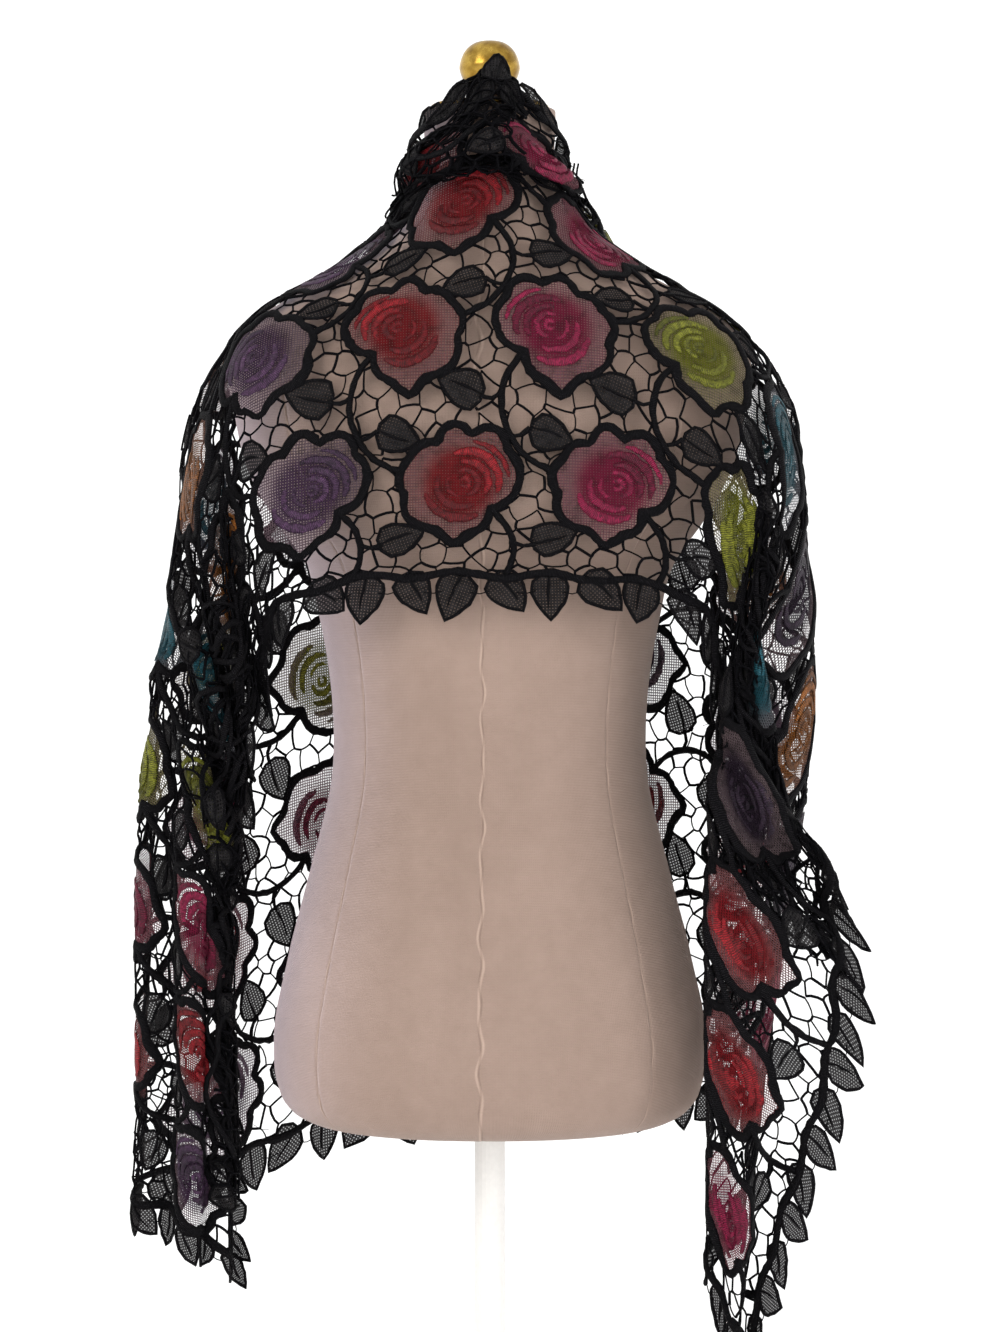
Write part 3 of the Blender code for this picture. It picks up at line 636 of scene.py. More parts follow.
def base_surface(u, v):
    """The drape before its folds: points for arrays of places along and across the cloth."""
    widths = np.array([row[0] for row in BACK_LINES], float)
    lines = []
    for row, left, right in zip(BACK_LINES, LEFT_LINES, RIGHT_LINES):
        left_knots, left_points = line_through(row, left, -1, -LACE_LEFT)
        right_knots, right_points = line_through(row, right, 1, LACE_RIGHT)
        knots = np.concatenate([-left_knots[:0:-1], right_knots])
        points = np.concatenate([left_points[:0:-1], right_points])
        lines.append(hermite(u, knots, points))
    return hermite(v, widths, np.stack(lines), own=True)


def surface_frame(points):
    """Lengths of the two tangents of the drape's grid of points, and its unit normals."""
    along, over = (np.gradient(points, GRID_STEP, axis=axis) for axis in (0, 1))
    return np.linalg.norm(along, axis=-1), np.linalg.norm(over, axis=-1), unit(np.cross(along, over))


def ramp(value, start, end):
    """0 at start and 1 at end, straight between them and level beyond."""
    return np.clip((value - start) / (end - start), 0, 1)


def smooth(field, rounds=6):
    """A grid of values, each drawn towards its four neighbours a few times."""
    for _ in range(rounds):
        wide = np.pad(field, 1, mode="edge")
        field = (wide[:-2, 1:-1] + wide[2:, 1:-1] + wide[1:-1, :-2] + wide[1:-1, 2:] + 2 * field) / 6
    return field


def fold_depth(stretch, wave):
    """How deep sine folds of that much cloth are, where the surface is short by that stretch."""
    return wave / (2 * math.pi) * np.sqrt(2 * np.clip(1 - stretch**2, 0, 1))


def drape_grid():
    """The draped cloth as a grid of points, from the left end to the right and from the hem up."""
    us = np.arange(LACE_LEFT - GRID_MARGIN, LACE_RIGHT + GRID_MARGIN + 1, GRID_STEP, dtype=float)
    vs = np.arange(-GRID_MARGIN, LACE_WIDTH + GRID_MARGIN + 1, GRID_STEP, dtype=float)
    u, v = np.meshgrid(us, vs, indexing="ij")
    points = clear_of_form(base_surface(u, v))
    along, over, normal = surface_frame(points)
    away, side = np.abs(u), np.sign(u)
    gathered = np.maximum(ramp(away, *FALL_FROM_TO), ramp(v, *CHEST_FROM_TO) * ramp(away, *NECK_FROM_TO))
    turn = ramp(away, *TURN_FROM_TO) * ramp(away, *TURN_TO_FROM) * ramp(v, *HEMWARD_TO_FROM)
    cascade = smooth(np.minimum(fold_depth(along, CASCADE_WAVE), MOST_SLACK_DEPTH) * turn)
    pleats = smooth(np.minimum(fold_depth(over, PLEAT_WAVE), MOST_PLEAT_DEPTH) * gathered)
    pleats *= 1 - 0.5 * cascade / MOST_SLACK_DEPTH
    normal = np.stack([smooth(normal[..., k], 4) for k in range(3)], axis=-1)
    drift = 0.5 * np.sin(u / 170 + 1.1) + 0.35 * np.sin(u / 71 + 0.4 * side)
    bunch = 0.7 * np.sin(v / 61 + 0.9 * side)
    folds = pleats * np.sin(2 * math.pi * v / PLEAT_WAVE + drift + bunch)
    folds += cascade * np.sin(2 * math.pi * away / CASCADE_WAVE + 0.6 * side + v / 90)
    points = clear_of_form(points + normal * folds[..., None])
    points[..., 2] += FORM_BOTTOM
    return us, vs, points


class Drape:
    """Reads the draped cloth at any place of the flat lace."""

    def __init__(self):
        self.us, self.vs, self.points = drape_grid()
        self.normals = surface_frame(self.points)[2]

    def at(self, flat):
        """Points on the cloth and its normals there, for flat places (u, v)."""
        flat = np.asarray(flat, float)
        i = np.clip((flat[:, 0] - self.us[0]) / GRID_STEP, 0, len(self.us) - 1.001)
        j = np.clip((flat[:, 1] - self.vs[0]) / GRID_STEP, 0, len(self.vs) - 1.001)
        a, b = i.astype(int), j.astype(int)
        s, t = (i - a)[:, None], (j - b)[:, None]

        def read(grid):
            low = grid[a, b] * (1 - s) + grid[a + 1, b] * s
            high = grid[a, b + 1] * (1 - s) + grid[a + 1, b + 1] * s
            return low * (1 - t) + high * t

        return read(self.points), unit(read(self.normals))


def plan():
    """The draped cloth with its roses and leaves, worked out once."""
    if "drape" not in WORKED_OUT:
        roses = rose_plan()
        leaves = np.concatenate([leaf_plan(roses), trim_leaf_plan()])
        WORKED_OUT.update(drape=Drape(), roses=roses, leaves=leaves)
    return WORKED_OUT["drape"], WORKED_OUT["roses"], WORKED_OUT["leaves"]


# Meshes


class Weave:
    """Gathers faces with their thread map, their flat map and a tint, and makes one mesh object."""

    def __init__(self):
        self.points, self.faces, self.maps, self.flats, self.tints, self.slots = [], [], [], [], [], []
        self.count = 0

    def add(self, points, faces, maps, flats, tint, slot=0):
        """faces are rows of four corners; maps and flats give (x, y) for each corner of each face."""
        self.points.append(points)
        self.faces.append(faces + self.count)
        self.maps.append(maps.reshape(-1, 2))
        self.flats.append(flats.reshape(-1, 2))
        self.tints.append(np.broadcast_to(np.array([*tint, 1.0]), (len(points), 4)))
        self.slots.append(np.full(len(faces), slot))
        self.count += len(points)

    def piece(self, name, *surfaces):
        points = np.concatenate(self.points) * METRES
        faces = np.concatenate(self.faces)
        mesh = bpy.data.meshes.new(name)
        mesh.vertices.add(len(points))
        mesh.vertices.foreach_set("co", points.astype(np.float32).ravel())
        mesh.loops.add(faces.size)
        mesh.loops.foreach_set("vertex_index", faces.astype(np.int32).ravel())
        mesh.polygons.add(len(faces))
        mesh.polygons.foreach_set("loop_start", np.arange(0, faces.size, 4, dtype=np.int32))
        mesh.polygons.foreach_set("material_index", np.concatenate(self.slots).astype(np.int32))
        for map_name, values in (("thread", self.maps), ("flat", self.flats)):
            layer = mesh.uv_layers.new(name=map_name)
            layer.data.foreach_set("uv", (np.concatenate(values) * METRES).astype(np.float32).ravel())
        tint = mesh.color_attributes.new("tint", "FLOAT_COLOR", "POINT")
        tint.data.foreach_set("color", np.concatenate(self.tints).astype(np.float32).ravel())
        mesh.update(calc_edges=True)
        mesh.polygons.foreach_set("use_smooth", [True] * len(mesh.polygons))
        return linked(name, mesh, *surfaces)


def linked(name, mesh, *surfaces):
    """A new object of the scene for a mesh with its materials."""
    for surface in surfaces:
        mesh.materials.append(surface)
    made = bpy.data.objects.new(name, mesh)
    bpy.context.scene.collection.objects.link(made)
    return made


def grid_faces(rows, columns, wrap_rows=False):
    """Corner numbers of the quads between rows of points, each row a closed ring."""
    i = np.arange(rows if wrap_rows else rows - 1)[:, None]
    j = np.arange(columns)[None]
    i2, j2 = (i + 1) % rows, (j + 1) % columns
    corners = [i * columns + j, i * columns + j2, i2 * columns + j2, i2 * columns + j]
    return np.stack(corners, axis=-1).reshape(-1, 4)


def lay_cord(weave, drape, flat, half_width, half_height, lift=0.0, closed=False, sides=6, tint=(0, 0, 0)):
    """A corded thread along flat points: flattened against the cloth, with closed ends."""
    flat = np.asarray(flat, float)
    count = len(flat)
    width = half_width * (1 + 0.1 * np.sin(flat @ (0.9, 1.3)) + 0.09 * np.sin(flat @ (2.1, -1.7)))
    middle, normal = drape.at(flat)
    middle = middle + normal * lift
    if closed:
        way = unit(np.roll(middle, -1, axis=0) - np.roll(middle, 1, axis=0))
    else:
        way = unit(np.gradient(middle, axis=0))
    beside = unit(np.cross(normal, way))
    up = np.cross(way, beside)
    middle = middle + beside * (0.35 * np.sin(flat @ (1.7, 1.1)))[:, None]
    turn = 2 * math.pi * np.arange(sides)[None, :, None] / sides
    ring = middle[:, None] + beside[:, None] * (np.cos(turn) * width[:, None, None])
    ring = ring + up[:, None] * (np.sin(turn) * half_height)
    faces = grid_faces(count, sides, wrap_rows=closed)
    run = np.concatenate([[0], np.cumsum(np.linalg.norm(np.diff(flat, axis=0), axis=1))])
    run = np.append(run, run[-1] + 4)
    rows, k = np.divmod(np.arange(len(faces)), sides)
    near, far = run[rows], run[rows + 1]
    maps = np.stack([np.stack([near, near, far, far], -1), np.stack([k, k + 1, k + 1, k], -1)], -1)
    if not closed:
        fans = [[0, m, m + 1, m + 2] for m in range(1, sides - 2, 2)]
        ends = [fan[::-1] for fan in fans] + [[(count - 1) * sides + m for m in fan] for fan in fans]
        faces = np.concatenate([faces, ends])
        maps = np.concatenate([maps, np.zeros((len(ends), 4, 2))])
    weave.add(ring.reshape(-1, 3), faces, maps, flat[faces // sides], tint)


def patch(weave, drape, flat_rings, local_rings, lift, tint, slot=0):
    """Cloth between rings of flat points, all with as many points, the first drawn in to one place."""
    rows, columns = flat_rings.shape[:2]
    flat = flat_rings.reshape(-1, 2)
    points, normal = drape.at(flat)
    points = points + normal * np.broadcast_to(np.repeat(lift, columns), len(flat))[:, None]
    faces = grid_faces(rows, columns)[:, ::-1]
    weave.add(points, faces, local_rings.reshape(-1, 2)[faces], flat[faces], tint, slot)


def rose_cloth(weave, drape, rose):
    """The woven ground of one rose, cupped a little between its rim and its heart."""
    u, v, side, colour = rose
    angle = np.arange(0, 360, 7.5)
    shares, lift = np.transpose(ROSE_CUP)
    local = directions(angle) * (shares[:, None] * rose_reach(angle))[..., None]
    flat = local * (side, 1) + (u, v)
    if side < 0:
        flat, local = flat[:, ::-1], local[:, ::-1]
    patch(weave, drape, flat, local, lift, TINTS[colour])


def leaf_cloth(weave, drape, base, tip, bend, lift):
    """The dense cloth of one leaf, which rises by bend in the middle."""
    ring = leaf_outline(base, tip)[::-1]
    middle = ring.mean(axis=0)
    shares = np.array([0.002, 0.55, 1.0])
    flat = middle + (ring - middle)[None] * shares[:, None, None]
    way = (tip - base) / np.linalg.norm(tip - base)
    local = np.stack([(flat - base) @ way, (flat - base) @ left_of(way)], axis=-1)
    patch(weave, drape, flat, local, np.array([bend, 0.6 * bend, 0]) + lift, LEAF_TINT, slot=1)


def tapered(count, full):
    """Half widths along a band that narrows at both ends."""
    return full * (0.35 + 0.65 * np.sin(np.pi * np.linspace(0, 1, count)) ** 0.6)


def rose_cords(drape, roses, rim_half):
    """Satin swirls and corded rims of all roses."""
    swirls, rims = Weave(), Weave()
    angle = np.arange(0, 360, 5.0)
    for u, v, side, colour in roses:
        ring = directions(angle) * rose_reach(angle)[:, None] * (side, 1) + (u, v)
        width = rim_half * (1 + 0.12 * np.sin(np.radians(angle * 3 + u)))
        lay_cord(rims, drape, ring, width, RIM_HALF_HEIGHT, RIM_LIFT, closed=True, sides=8)
        for x, y, radius, start, end, half in ROSE_SWIRLS:
            count = max(6, int(radius * abs(end - start) / 200) + 4)
            arc = directions(np.linspace(start, end, count)) * (radius, 0.92 * radius) + (x, y)
            arc = arc * (side, 1) + (u, v)
            tint = np.array(TINTS[colour]) * (0.78 + 0.3 * math.sin(radius * 1.7 + 0.3 * u))
            lay_cord(swirls, drape, arc, tapered(count, half), BAND_HALF_HEIGHT, BAND_LIFT, tint=tint)
    return swirls, rims


def bunched_cords(cords, drape):
    """Cords that run up and down through the gathers, on top of each other."""
    rng = np.random.default_rng(GATHER_SEED)
    for left, right, low, high in GATHERS:
        for _ in range(int((high - low) * (right - left) / GATHER_CORD_AREA) + 3):
            middle, wander = rng.uniform(low, high), rng.uniform(6, 20)
            along = np.arange(rng.uniform(left, left + 40), rng.uniform(right - 60, right), 6.0)
            if len(along) < 6:
                continue
            turn = along / rng.uniform(14, 40) + rng.uniform(0, 6)
            across_it = np.clip(middle + wander * np.sin(turn) + 5 * np.sin(2.7 * turn), -4, LACE_WIDTH + 4)
            flat = np.stack([along, across_it], axis=1)
            lay_cord(cords, drape, flat, rng.uniform(1.6, 2.6), 1.5, rng.uniform(2, 7))


def stem_cords(drape, roses, stem_half, edge_half):
    """Stems, twigs and the wavy cord that carries the trim."""
    cords = Weave()
    bunched_cords(cords, drape)
    for stem in stem_plan(roses):
        line = smooth_line(on_stem(stem, STEM), 4)
        line = line[inside_edge(line, -2)]
        if len(line) > 3:
            lay_cord(cords, drape, line, stem_half, 1.8)
        for twig in TWIGS:
            line = smooth_line(on_stem(stem, twig), 4)
            if inside_edge(line, 4).all():
                lay_cord(cords, drape, line, 1.7, 1.4)
    ring = []
    for start, way, outward, length in trim_sides():
        count = round(length / TRIM_PITCH)
        at = np.arange(0, length, TRIM_CORD_STEP, dtype=float)
        depth, run = TRIM_DRIFT
        wave = TRIM_WAVE * np.sin(math.pi * at * count / length) + depth * np.sin(at / run)
        ring.append(start + way * at[:, None] - outward * wave[:, None])
    lay_cord(cords, drape, np.concatenate(ring), edge_half, 2.0, closed=True, sides=8)
    return cords


def tucked_leaves():
    """Leaves that lie in heaps in the gathers and on the point of the neck."""
    rng = np.random.default_rng(GATHER_SEED)
    leaves = [np.array((base, tip), float) for base, tip in PEAK_LEAVES]
    for left, right, low, high in GATHERS:
        for _ in range(int((high - low) * (right - left) / GATHER_LEAF_AREA)):
            base = rng.uniform((left, max(low, 12)), (right, high))
            turn = rng.uniform(0, 2 * math.pi)
            way = np.array((math.cos(turn), math.sin(turn)))
            leaves.append(np.array((base, base + way * rng.uniform(*HEAP_LEAF_LENGTHS))))
    return [leaf for leaf in leaves if leaf[:, 1].max() < LACE_WIDTH + 30]


def leaf_bend(k):
    """How far the middle of a leaf rises."""
    return 0.8 + 0.8 * math.sin(1.9 * k)


def heap_lift(k):
    """How far a leaf of the heaps lies over the cloth."""
    return HEAP_LIFT + k % HEAP_LAYERS


def leaf_cloths(weave, drape, leaves):
    """The dense cloth of all leaves."""
    for k, (base, tip) in enumerate(leaves):
        leaf_cloth(weave, drape, base, tip, leaf_bend(k), 0)
    for k, (base, tip) in enumerate(tucked_leaves()):
        leaf_cloth(weave, drape, base, tip, leaf_bend(k), heap_lift(k))


def leaf_cords(drape, leaves):
    """Corded rims and ribs of all leaves."""
    cords = Weave()
    heaped = tucked_leaves()
    lifts = [0.0] * len(leaves) + [heap_lift(k) for k in range(len(heaped))]
    share = np.linspace(0.0, 0.74, 6)[:, None]
    for k, (base, tip) in enumerate([*leaves, *heaped]):
        lay_cord(cords, drape, leaf_outline(base, tip), 1.35, 1.2, lifts[k] + 0.1, closed=True, sides=5)
        way = tip - base
        rib = base + way * share + left_of(way) * 0.05 * (-1) ** k * np.sin(np.pi * share)
        lay_cord(cords, drape, rib, tapered(6, 1.1), 0.9, lifts[k] + leaf_bend(k) * 0.8 + 0.3)
    return cords


def in_gathers(threads):
    """The threads that lie where the cloth is bunched up."""
    u, v = np.array([line.mean(axis=0) for line in threads]).T
    bunched = np.zeros(len(threads), bool)
    for left, right, low, high in GATHERS:
        bunched |= (u > left) & (u < right) & (v > low) & (v < high)
    return [threads[k] for k in np.flatnonzero(bunched)]


def loose_hairs(drape):
    """Stray ends that stand off the edge and the bunched cloth, as lines in space."""
    rng = np.random.default_rng(GATHER_SEED)
    sides = trim_sides()
    starts = []
    for _ in range(HAIRS):
        start, way, outward, length = sides[rng.integers(4)]
        starts.append(start + way * length * rng.random() + outward * rng.uniform(-10, 26))
    for left, right, low, high in GATHERS:
        starts += list(rng.uniform((left, low), (right, high), (HAIRS // 4, 2)))
    points, normals = drape.at(np.array(starts))
    lines = []
    for point, normal in zip(points, normals):
        reach = rng.uniform(*HAIR_LENGTHS)
        drift = rng.uniform(-1, 1, 3) * (1, 1, 1.6) + normal * 0.35
        drift /= np.linalg.norm(drift)
        share = np.linspace(0, 1, 6)[:, None]
        curl = np.cross(drift, rng.uniform(-1, 1, 3)) * rng.uniform(0.4, 1.1)
        lines.append(point + normal * 0.6 + reach * (drift * share + curl * share**2))
    return lines


def bridge_threads():
    """Fine threads that tie each trim leaf to the next."""
    threads = []
    for start, way, outward, length in trim_sides():
        count = round(length / TRIM_PITCH)
        for k in range(count - 1):
            one = start + way * length * (k + 0.78) / count + outward * 13
            other = start + way * length * (k + 1.2) / count + outward * 12
            threads.append(np.array([one, (one + other) / 2 + outward * 1.5, other]))
    return threads


# Nodes


class Value:
    """A socket that Python's operators work on, each as one more node of its tree."""

    def __init__(self, nodes, socket):
        self.nodes, self.socket = nodes, socket

    def maths(self, operation, *inputs):
        return self.nodes.node("ShaderNodeMath", {"operation": operation}, dict(enumerate(inputs)))

    def __add__(self, other):
        return self.maths("ADD", self, other)

    def __sub__(self, other):
        return self.maths("SUBTRACT", self, other)

    def __rsub__(self, other):
        return self.maths("SUBTRACT", other, self)

    def __mul__(self, other):
        return self.maths("MULTIPLY", self, other)

    def __pow__(self, other):
        return self.maths("POWER", self, other)

    __radd__ = __add__
    __rmul__ = __mul__

    def wave(self, pitch):
        """Sine with one wave to each pitch."""
        return (self * (2 * math.pi / pitch)).sin()

    def sin(self):
        return self.maths("SINE", self)

    def abs(self):
        return self.maths("ABSOLUTE", self)

    def at_most(self, other):
        return self.maths("MINIMUM", self, other)

    def at_least(self, other):
        return self.maths("MAXIMUM", self, other)

    def step(self, low, high):
        """0 below low, 1 above high and smooth between them."""
        inputs = {"Value": self, "From Min": low, "From Max": high}
        return self.nodes.node("ShaderNodeMapRange", {"interpolation_type": "SMOOTHSTEP"}, inputs)


class Nodes:
    """Makes the nodes of one tree. Numbers, colours and Values go in, and a Value comes out."""

    def __init__(self, tree):
        self.tree = tree

    def node(self, kind, settings=None, inputs=None, output=0):
        """A new node's output, or None where it has none."""
        node = self.tree.nodes.new(kind)
        for key, value in (settings or {}).items():
            setattr(node, key, value)
        for key, value in (inputs or {}).items():
            self.fill(node.inputs[key], value)
        return Value(self, node.outputs[output]) if node.outputs else None

    def outputs(self, kind, inputs=None):
        """All outputs of a new node."""
        first = self.node(kind, None, inputs)
        return [Value(self, socket) for socket in first.socket.node.outputs]

    def fill(self, socket, value):
        if isinstance(value, Value):
            self.tree.links.new(value.socket, socket)
        elif isinstance(value, tuple) and socket.type == "RGBA":
            socket.default_value = (*value, 1)
        else:
            socket.default_value = value

    def noise(self, vector, scale, detail=2.0, rough=0.5):
        inputs = {"Vector": vector, "Scale": scale, "Detail": detail, "Roughness": rough}
        return self.node("ShaderNodeTexNoise", {"noise_dimensions": "3D"}, inputs)


class Shader(Nodes):
    """The nodes of one new material."""

    def __init__(self, name):
        self.surface = bpy.data.materials.new(name)
        self.surface.use_nodes = True
        super().__init__(self.surface.node_tree)
        self.shader = next(node for node in self.tree.nodes if node.type == "BSDF_PRINCIPLED")
        self.place = self.node("ShaderNodeTexCoord", output="Object")

    def set(self, **inputs):
        """Sets the shader's sockets, named with underscores for spaces."""
        for key, value in inputs.items():
            self.fill(self.shader.inputs[key.replace("_", " ")], value)

    def split(self, vector):
        return self.outputs("ShaderNodeSeparateXYZ", {0: vector})

    def map(self, name):
        return self.split(self.node("ShaderNodeUVMap", {"uv_map": name}))[:2]

    def grain(self, scale, detail=2.0, rough=0.5):
        return self.noise(self.place, scale, detail, rough)

    def streaks(self, scale, detail):
        """Noise that is drawn out, with its own scale each way."""
        place = self.node("ShaderNodeMapping", None, {"Vector": self.place, "Scale": scale})
        return self.noise(place, 1, detail)

    def tint(self):
        return self.node("ShaderNodeAttribute", {"attribute_name": "tint"}, output="Color")

    def mix(self, one, other, share):
        return self.node("ShaderNodeMix", {"data_type": "RGBA"}, {0: share, 6: one, 7: other}, output=2)

    def scaled(self, colour, factor):
        return self.node("ShaderNodeVectorMath", {"operation": "SCALE"}, {0: colour, "Scale": factor})

    def bump(self, height, distance):
        inputs = {"Height": height, "Distance": distance, "Strength": 1.0}
        self.set(Normal=self.node("ShaderNodeBump", None, inputs))


# Threads


def thread_tree():
    """Turns the lines of a mesh into round threads whose radius is the attribute "half"."""
    tree = bpy.data.node_groups.new("Net threads", "GeometryNodeTree")
    kinds = {"Geometry": "Geometry", "Sides": "Int", "Swell": "Float", "Surface": "Material"}
    for name, kind in kinds.items():
        tree.interface.new_socket(name, in_out="INPUT", socket_type=f"NodeSocket{kind}")
    tree.interface.new_socket("Geometry", in_out="OUTPUT", socket_type="NodeSocketGeometry")
    n = Nodes(tree)
    lines, sides, swell, surface = n.outputs("NodeGroupInput")[: len(kinds)]
    half = n.node("GeometryNodeInputNamedAttribute", {"data_type": "FLOAT"}, {"Name": "half"})
    radius = half * ((n.noise(n.node("GeometryNodeInputPosition"), 180.0, 1.0) - 0.5) * swell + 1.0)
    curve = n.node("GeometryNodeMeshToCurve", None, {"Mesh": lines})
    inputs = {"Resolution": sides, "Radius": 1.0}
    ring = n.node("GeometryNodeCurvePrimitiveCircle", {"mode": "RADIUS"}, inputs)
    inputs = {"Curve": curve, "Profile Curve": ring, "Scale": radius, "Fill Caps": True}
    made = n.node("GeometryNodeCurveToMesh", None, inputs)
    for kind in ("SetShadeSmooth", "RealizeInstances"):
        made = n.node(f"GeometryNode{kind}", None, {"Geometry": made})
    made = n.node("GeometryNodeSetMaterial", None, {"Geometry": made, "Material": surface})
    n.node("NodeGroupOutput", None, {0: made})
    return tree


def on_cloth(drape, threads, lift=0.2):
    """Flat threads laid on the draped cloth, as lines in space."""
    counts = np.cumsum([len(line) for line in threads])[:-1]
    points, normal = drape.at(np.concatenate(threads))
    return np.split(points + normal * lift, counts)


def thread_piece(name, lines, halves, sides, surface):
    """Round threads along lines in space, made by the thread tree and kept as a plain mesh."""
    counts = [len(line) for line in lines]
    ends = set(np.cumsum(counts) - 1)
    points = np.concatenate(lines) * METRES
    mesh = bpy.data.meshes.new(name)
    mesh.from_pydata(points.tolist(), [(k, k + 1) for k in range(len(points)) if k not in ends], [])
    size = mesh.attributes.new("half", "FLOAT", "POINT")
    size.data.foreach_set("value", (np.repeat(halves, counts) * METRES).astype(np.float32))
    draft = linked(name, mesh)
    modifier = draft.modifiers.new("Threads", "NODES")
    modifier.node_group = tree = thread_tree()
    names = {item.name: item.identifier for item in tree.interface.items_tree if item.in_out == "INPUT"}
    for key, value in (("Sides", sides), ("Swell", THREAD_SWELL), ("Surface", surface)):
        modifier[names[key]] = value
    return plain(draft, surface)


def plain(draft, surface):
    """Swaps an object's mesh for what its modifiers make of it, and takes them off."""
    graph = bpy.context.evaluated_depsgraph_get()
    made = bpy.data.meshes.new_from_object(draft.evaluated_get(graph))
    draft.modifiers.clear()
    old = draft.data
    draft.data = made
    bpy.data.meshes.remove(old)
    if surface.name not in made.materials:
        made.materials.append(surface)
    return draft


# Surfaces


def black_cord():
    """Hard-twisted black thread, wrapped round and round a cord, with painted highlights on the wraps'
    crests and in specks.
    """
    n = Shader("black_cord")
    run, round_way = n.map("thread")
    wrap = (run * (2 * math.pi / CORD_WRAP) + round_way * 1300).sin()
    fray_and_glint = n.grain(900)
    # THREAD_LIT on the wraps' crests and in specks of the noise is painted highlight
    n.set(
        Base_Color=n.mix(THREAD_DARK, THREAD_LIT, (wrap * 0.3 + fray_and_glint).step(0.3, 1.0)),
        Roughness=0.7 - 0.16 * wrap.step(0, 1), Specular_IOR_Level=0.07,
    )
    n.bump(wrap * 0.5 + fray_and_glint + n.grain(330, 2, 0.6) * 2.5, 0.0006)
    return n.surface


def net_thread():
    """Dull black thread of the net, with specks of painted highlight."""
    n = Shader("net_thread")
    fray_and_glint = n.grain(1400, 3, 0.7)
    # THREAD_LIT in specks of the noise is painted highlight
    colour = n.mix(THREAD_DARK, THREAD_LIT, fray_and_glint.step(0.45, 0.8))
    n.set(Base_Color=colour, Roughness=0.8, Specular_IOR_Level=0.05)
    n.bump(fray_and_glint, 0.0004)
    return n.surface


def square_weave(n, one, other, pitch, waver_scale):
    """Heights of threads that run each way, from 0 between them to 1 on them, and of both together."""
    wave = n.grain(waver_scale)
    ways = [((way + MESH_WAVER * wave) * (math.pi / pitch)).sin().abs() for way in (one, other)]
    return *ways, ways[0].at_least(ways[1])


def rose_ground():
    """Sheer square mesh of a rose, of dark and tinted threads that lie closer at the heart, with a pale
    painted backlight in its holes towards the front.
    """
    n = Shader("rose_ground")
    x, y = n.map("thread")
    reach = (x * x + y * y) ** 0.5
    _, warp, weave = square_weave(n, *n.map("flat"), MESH_PITCH, 120)
    heart = 1 - reach.step(*HEART_FROM_TO)
    cover = (weave - 0.3 * n.streaks((60, 60, 700), 2) + 0.32 * heart).step(0.5, 0.72)
    tint = n.tint()
    outer = n.mix(n.mix(n.scaled(tint, 0.34), PETAL_PALE, 0.3), PETAL_DARK, warp.step(0.75, 0.95) * 0.75)
    inner = n.mix(n.scaled(tint, 0.28), n.scaled(tint, 0.08), (1 - weave).step(0.15, 0.45))
    colour = n.mix(outer, inner, heart)
    colour = n.mix(colour, n.scaled(colour, 0.5), n.grain(150, 3, 0.6).step(0.45, 0.7))
    # Painted backlight: towards the front, pale lilac fills the holes outside the heart, and the cover is
    # at least 0.3.
    painted_backlight = n.split(n.place)[1].step(*BACKLIGHT_FROM_TO)
    colour = n.mix(colour, PETAL_PAINTED_BACKLIGHT, (1 - cover * 0.85) * (1 - heart * 0.9) * painted_backlight)
    cover = cover.at_least(painted_backlight * 0.3)
    n.set(Base_Color=colour, Roughness=0.8, Alpha=cover * 0.94, Specular_IOR_Level=0.1)
    n.bump(weave, 0.0004)
    return n.surface


def satin():
    """Lustrous bands of close stitches laid side by side across the band."""
    n = Shader("satin")
    run = n.map("thread")[0]
    stitch = (run * (2 * math.pi / STITCH) + n.grain(300) * 6).sin()
    streak = n.grain(240, 3, 0.65)
    tint = n.tint()
    colour = n.mix(n.scaled(tint, 0.24), n.scaled(tint, 1.05), (stitch * 0.16 + streak).step(0.28, 0.76))
    colour = n.mix(colour, n.scaled(colour, 0.3), n.grain(700, 2, 0.7).step(0.52, 0.68))
    n.set(Base_Color=colour, Roughness=0.5, Specular_IOR_Level=0.25)
    n.bump(stitch + streak, 0.0004)
    return n.surface


def leaf_ground():
    """Dense dark mesh of a leaf."""
    n = Shader("leaf_ground")
    weave = square_weave(n, *n.map("thread"), LEAF_MESH_PITCH, 130)[2]
    colour = n.mix(LEAF_DARK, LEAF_LIT, (weave * 0.55 + n.grain(200, 3) * 0.6).step(0.55, 1.05))
    cover = 0.6 + 0.38 * weave.step(0.42, 0.66)
    n.set(Base_Color=colour, Roughness=0.85, Alpha=cover, Specular_IOR_Level=0.08)
    n.bump(weave, 0.0004)
    return n.surface


def jersey():
    """Fine knit stretched over the form in sewn panels, with a lit and a dark edge along each seam."""
    n = Shader("jersey")
    z = n.split(n.place)[2]
    turn, rise = n.map("panel")
    wale = turn.wave(1 / KNIT_WALES)
    course = (z * (2 * math.pi / KNIT_COURSE) + wale * 0.8).sin()
    fine = n.grain(70, 4, 0.65)
    pull = n.streaks((26, 26, 5), 3)
    shade = n.grain(5, 3) * 0.55 + fine * 0.25 + pull * 0.2
    colour = n.mix(JERSEY_DARK, JERSEY_LIT, shade.step(0.3, 0.7))
    colour = n.mix(colour, n.scaled(colour, 0.9), course.step(-0.2, 1) * 0.5)
    line, edge = 0.0, 0.0
    for at, depth in FORM_SEAMS:
        away = turn - at / 360 - 0.0006 * (z * 190).sin()
        swing = (rise * (2 * math.pi / (SEAM_PUCKER * METRES)) + at).sin()
        line = (1 - away.abs().step(0.0002, 0.0009)) * (0.2 + 0.4 * depth) + line
        edge = (1 - (away - swing * 0.0012).abs().step(0.0003, 0.0012)) * depth + edge
    colour = n.mix(colour, SEAM_LIT, edge * 0.3)
    colour = n.mix(colour, SEAM_DARK, line.at_most(1.0) * 0.4)
    n.set(Base_Color=colour, Roughness=0.88, Specular_IOR_Level=0.2, Sheen_Weight=0.15, Sheen_Roughness=0.5)
    n.bump(course * 0.5 + wale * 0.3 + fine * 1.5 + pull * 3 + edge - line, 0.0002)
    return n.surface


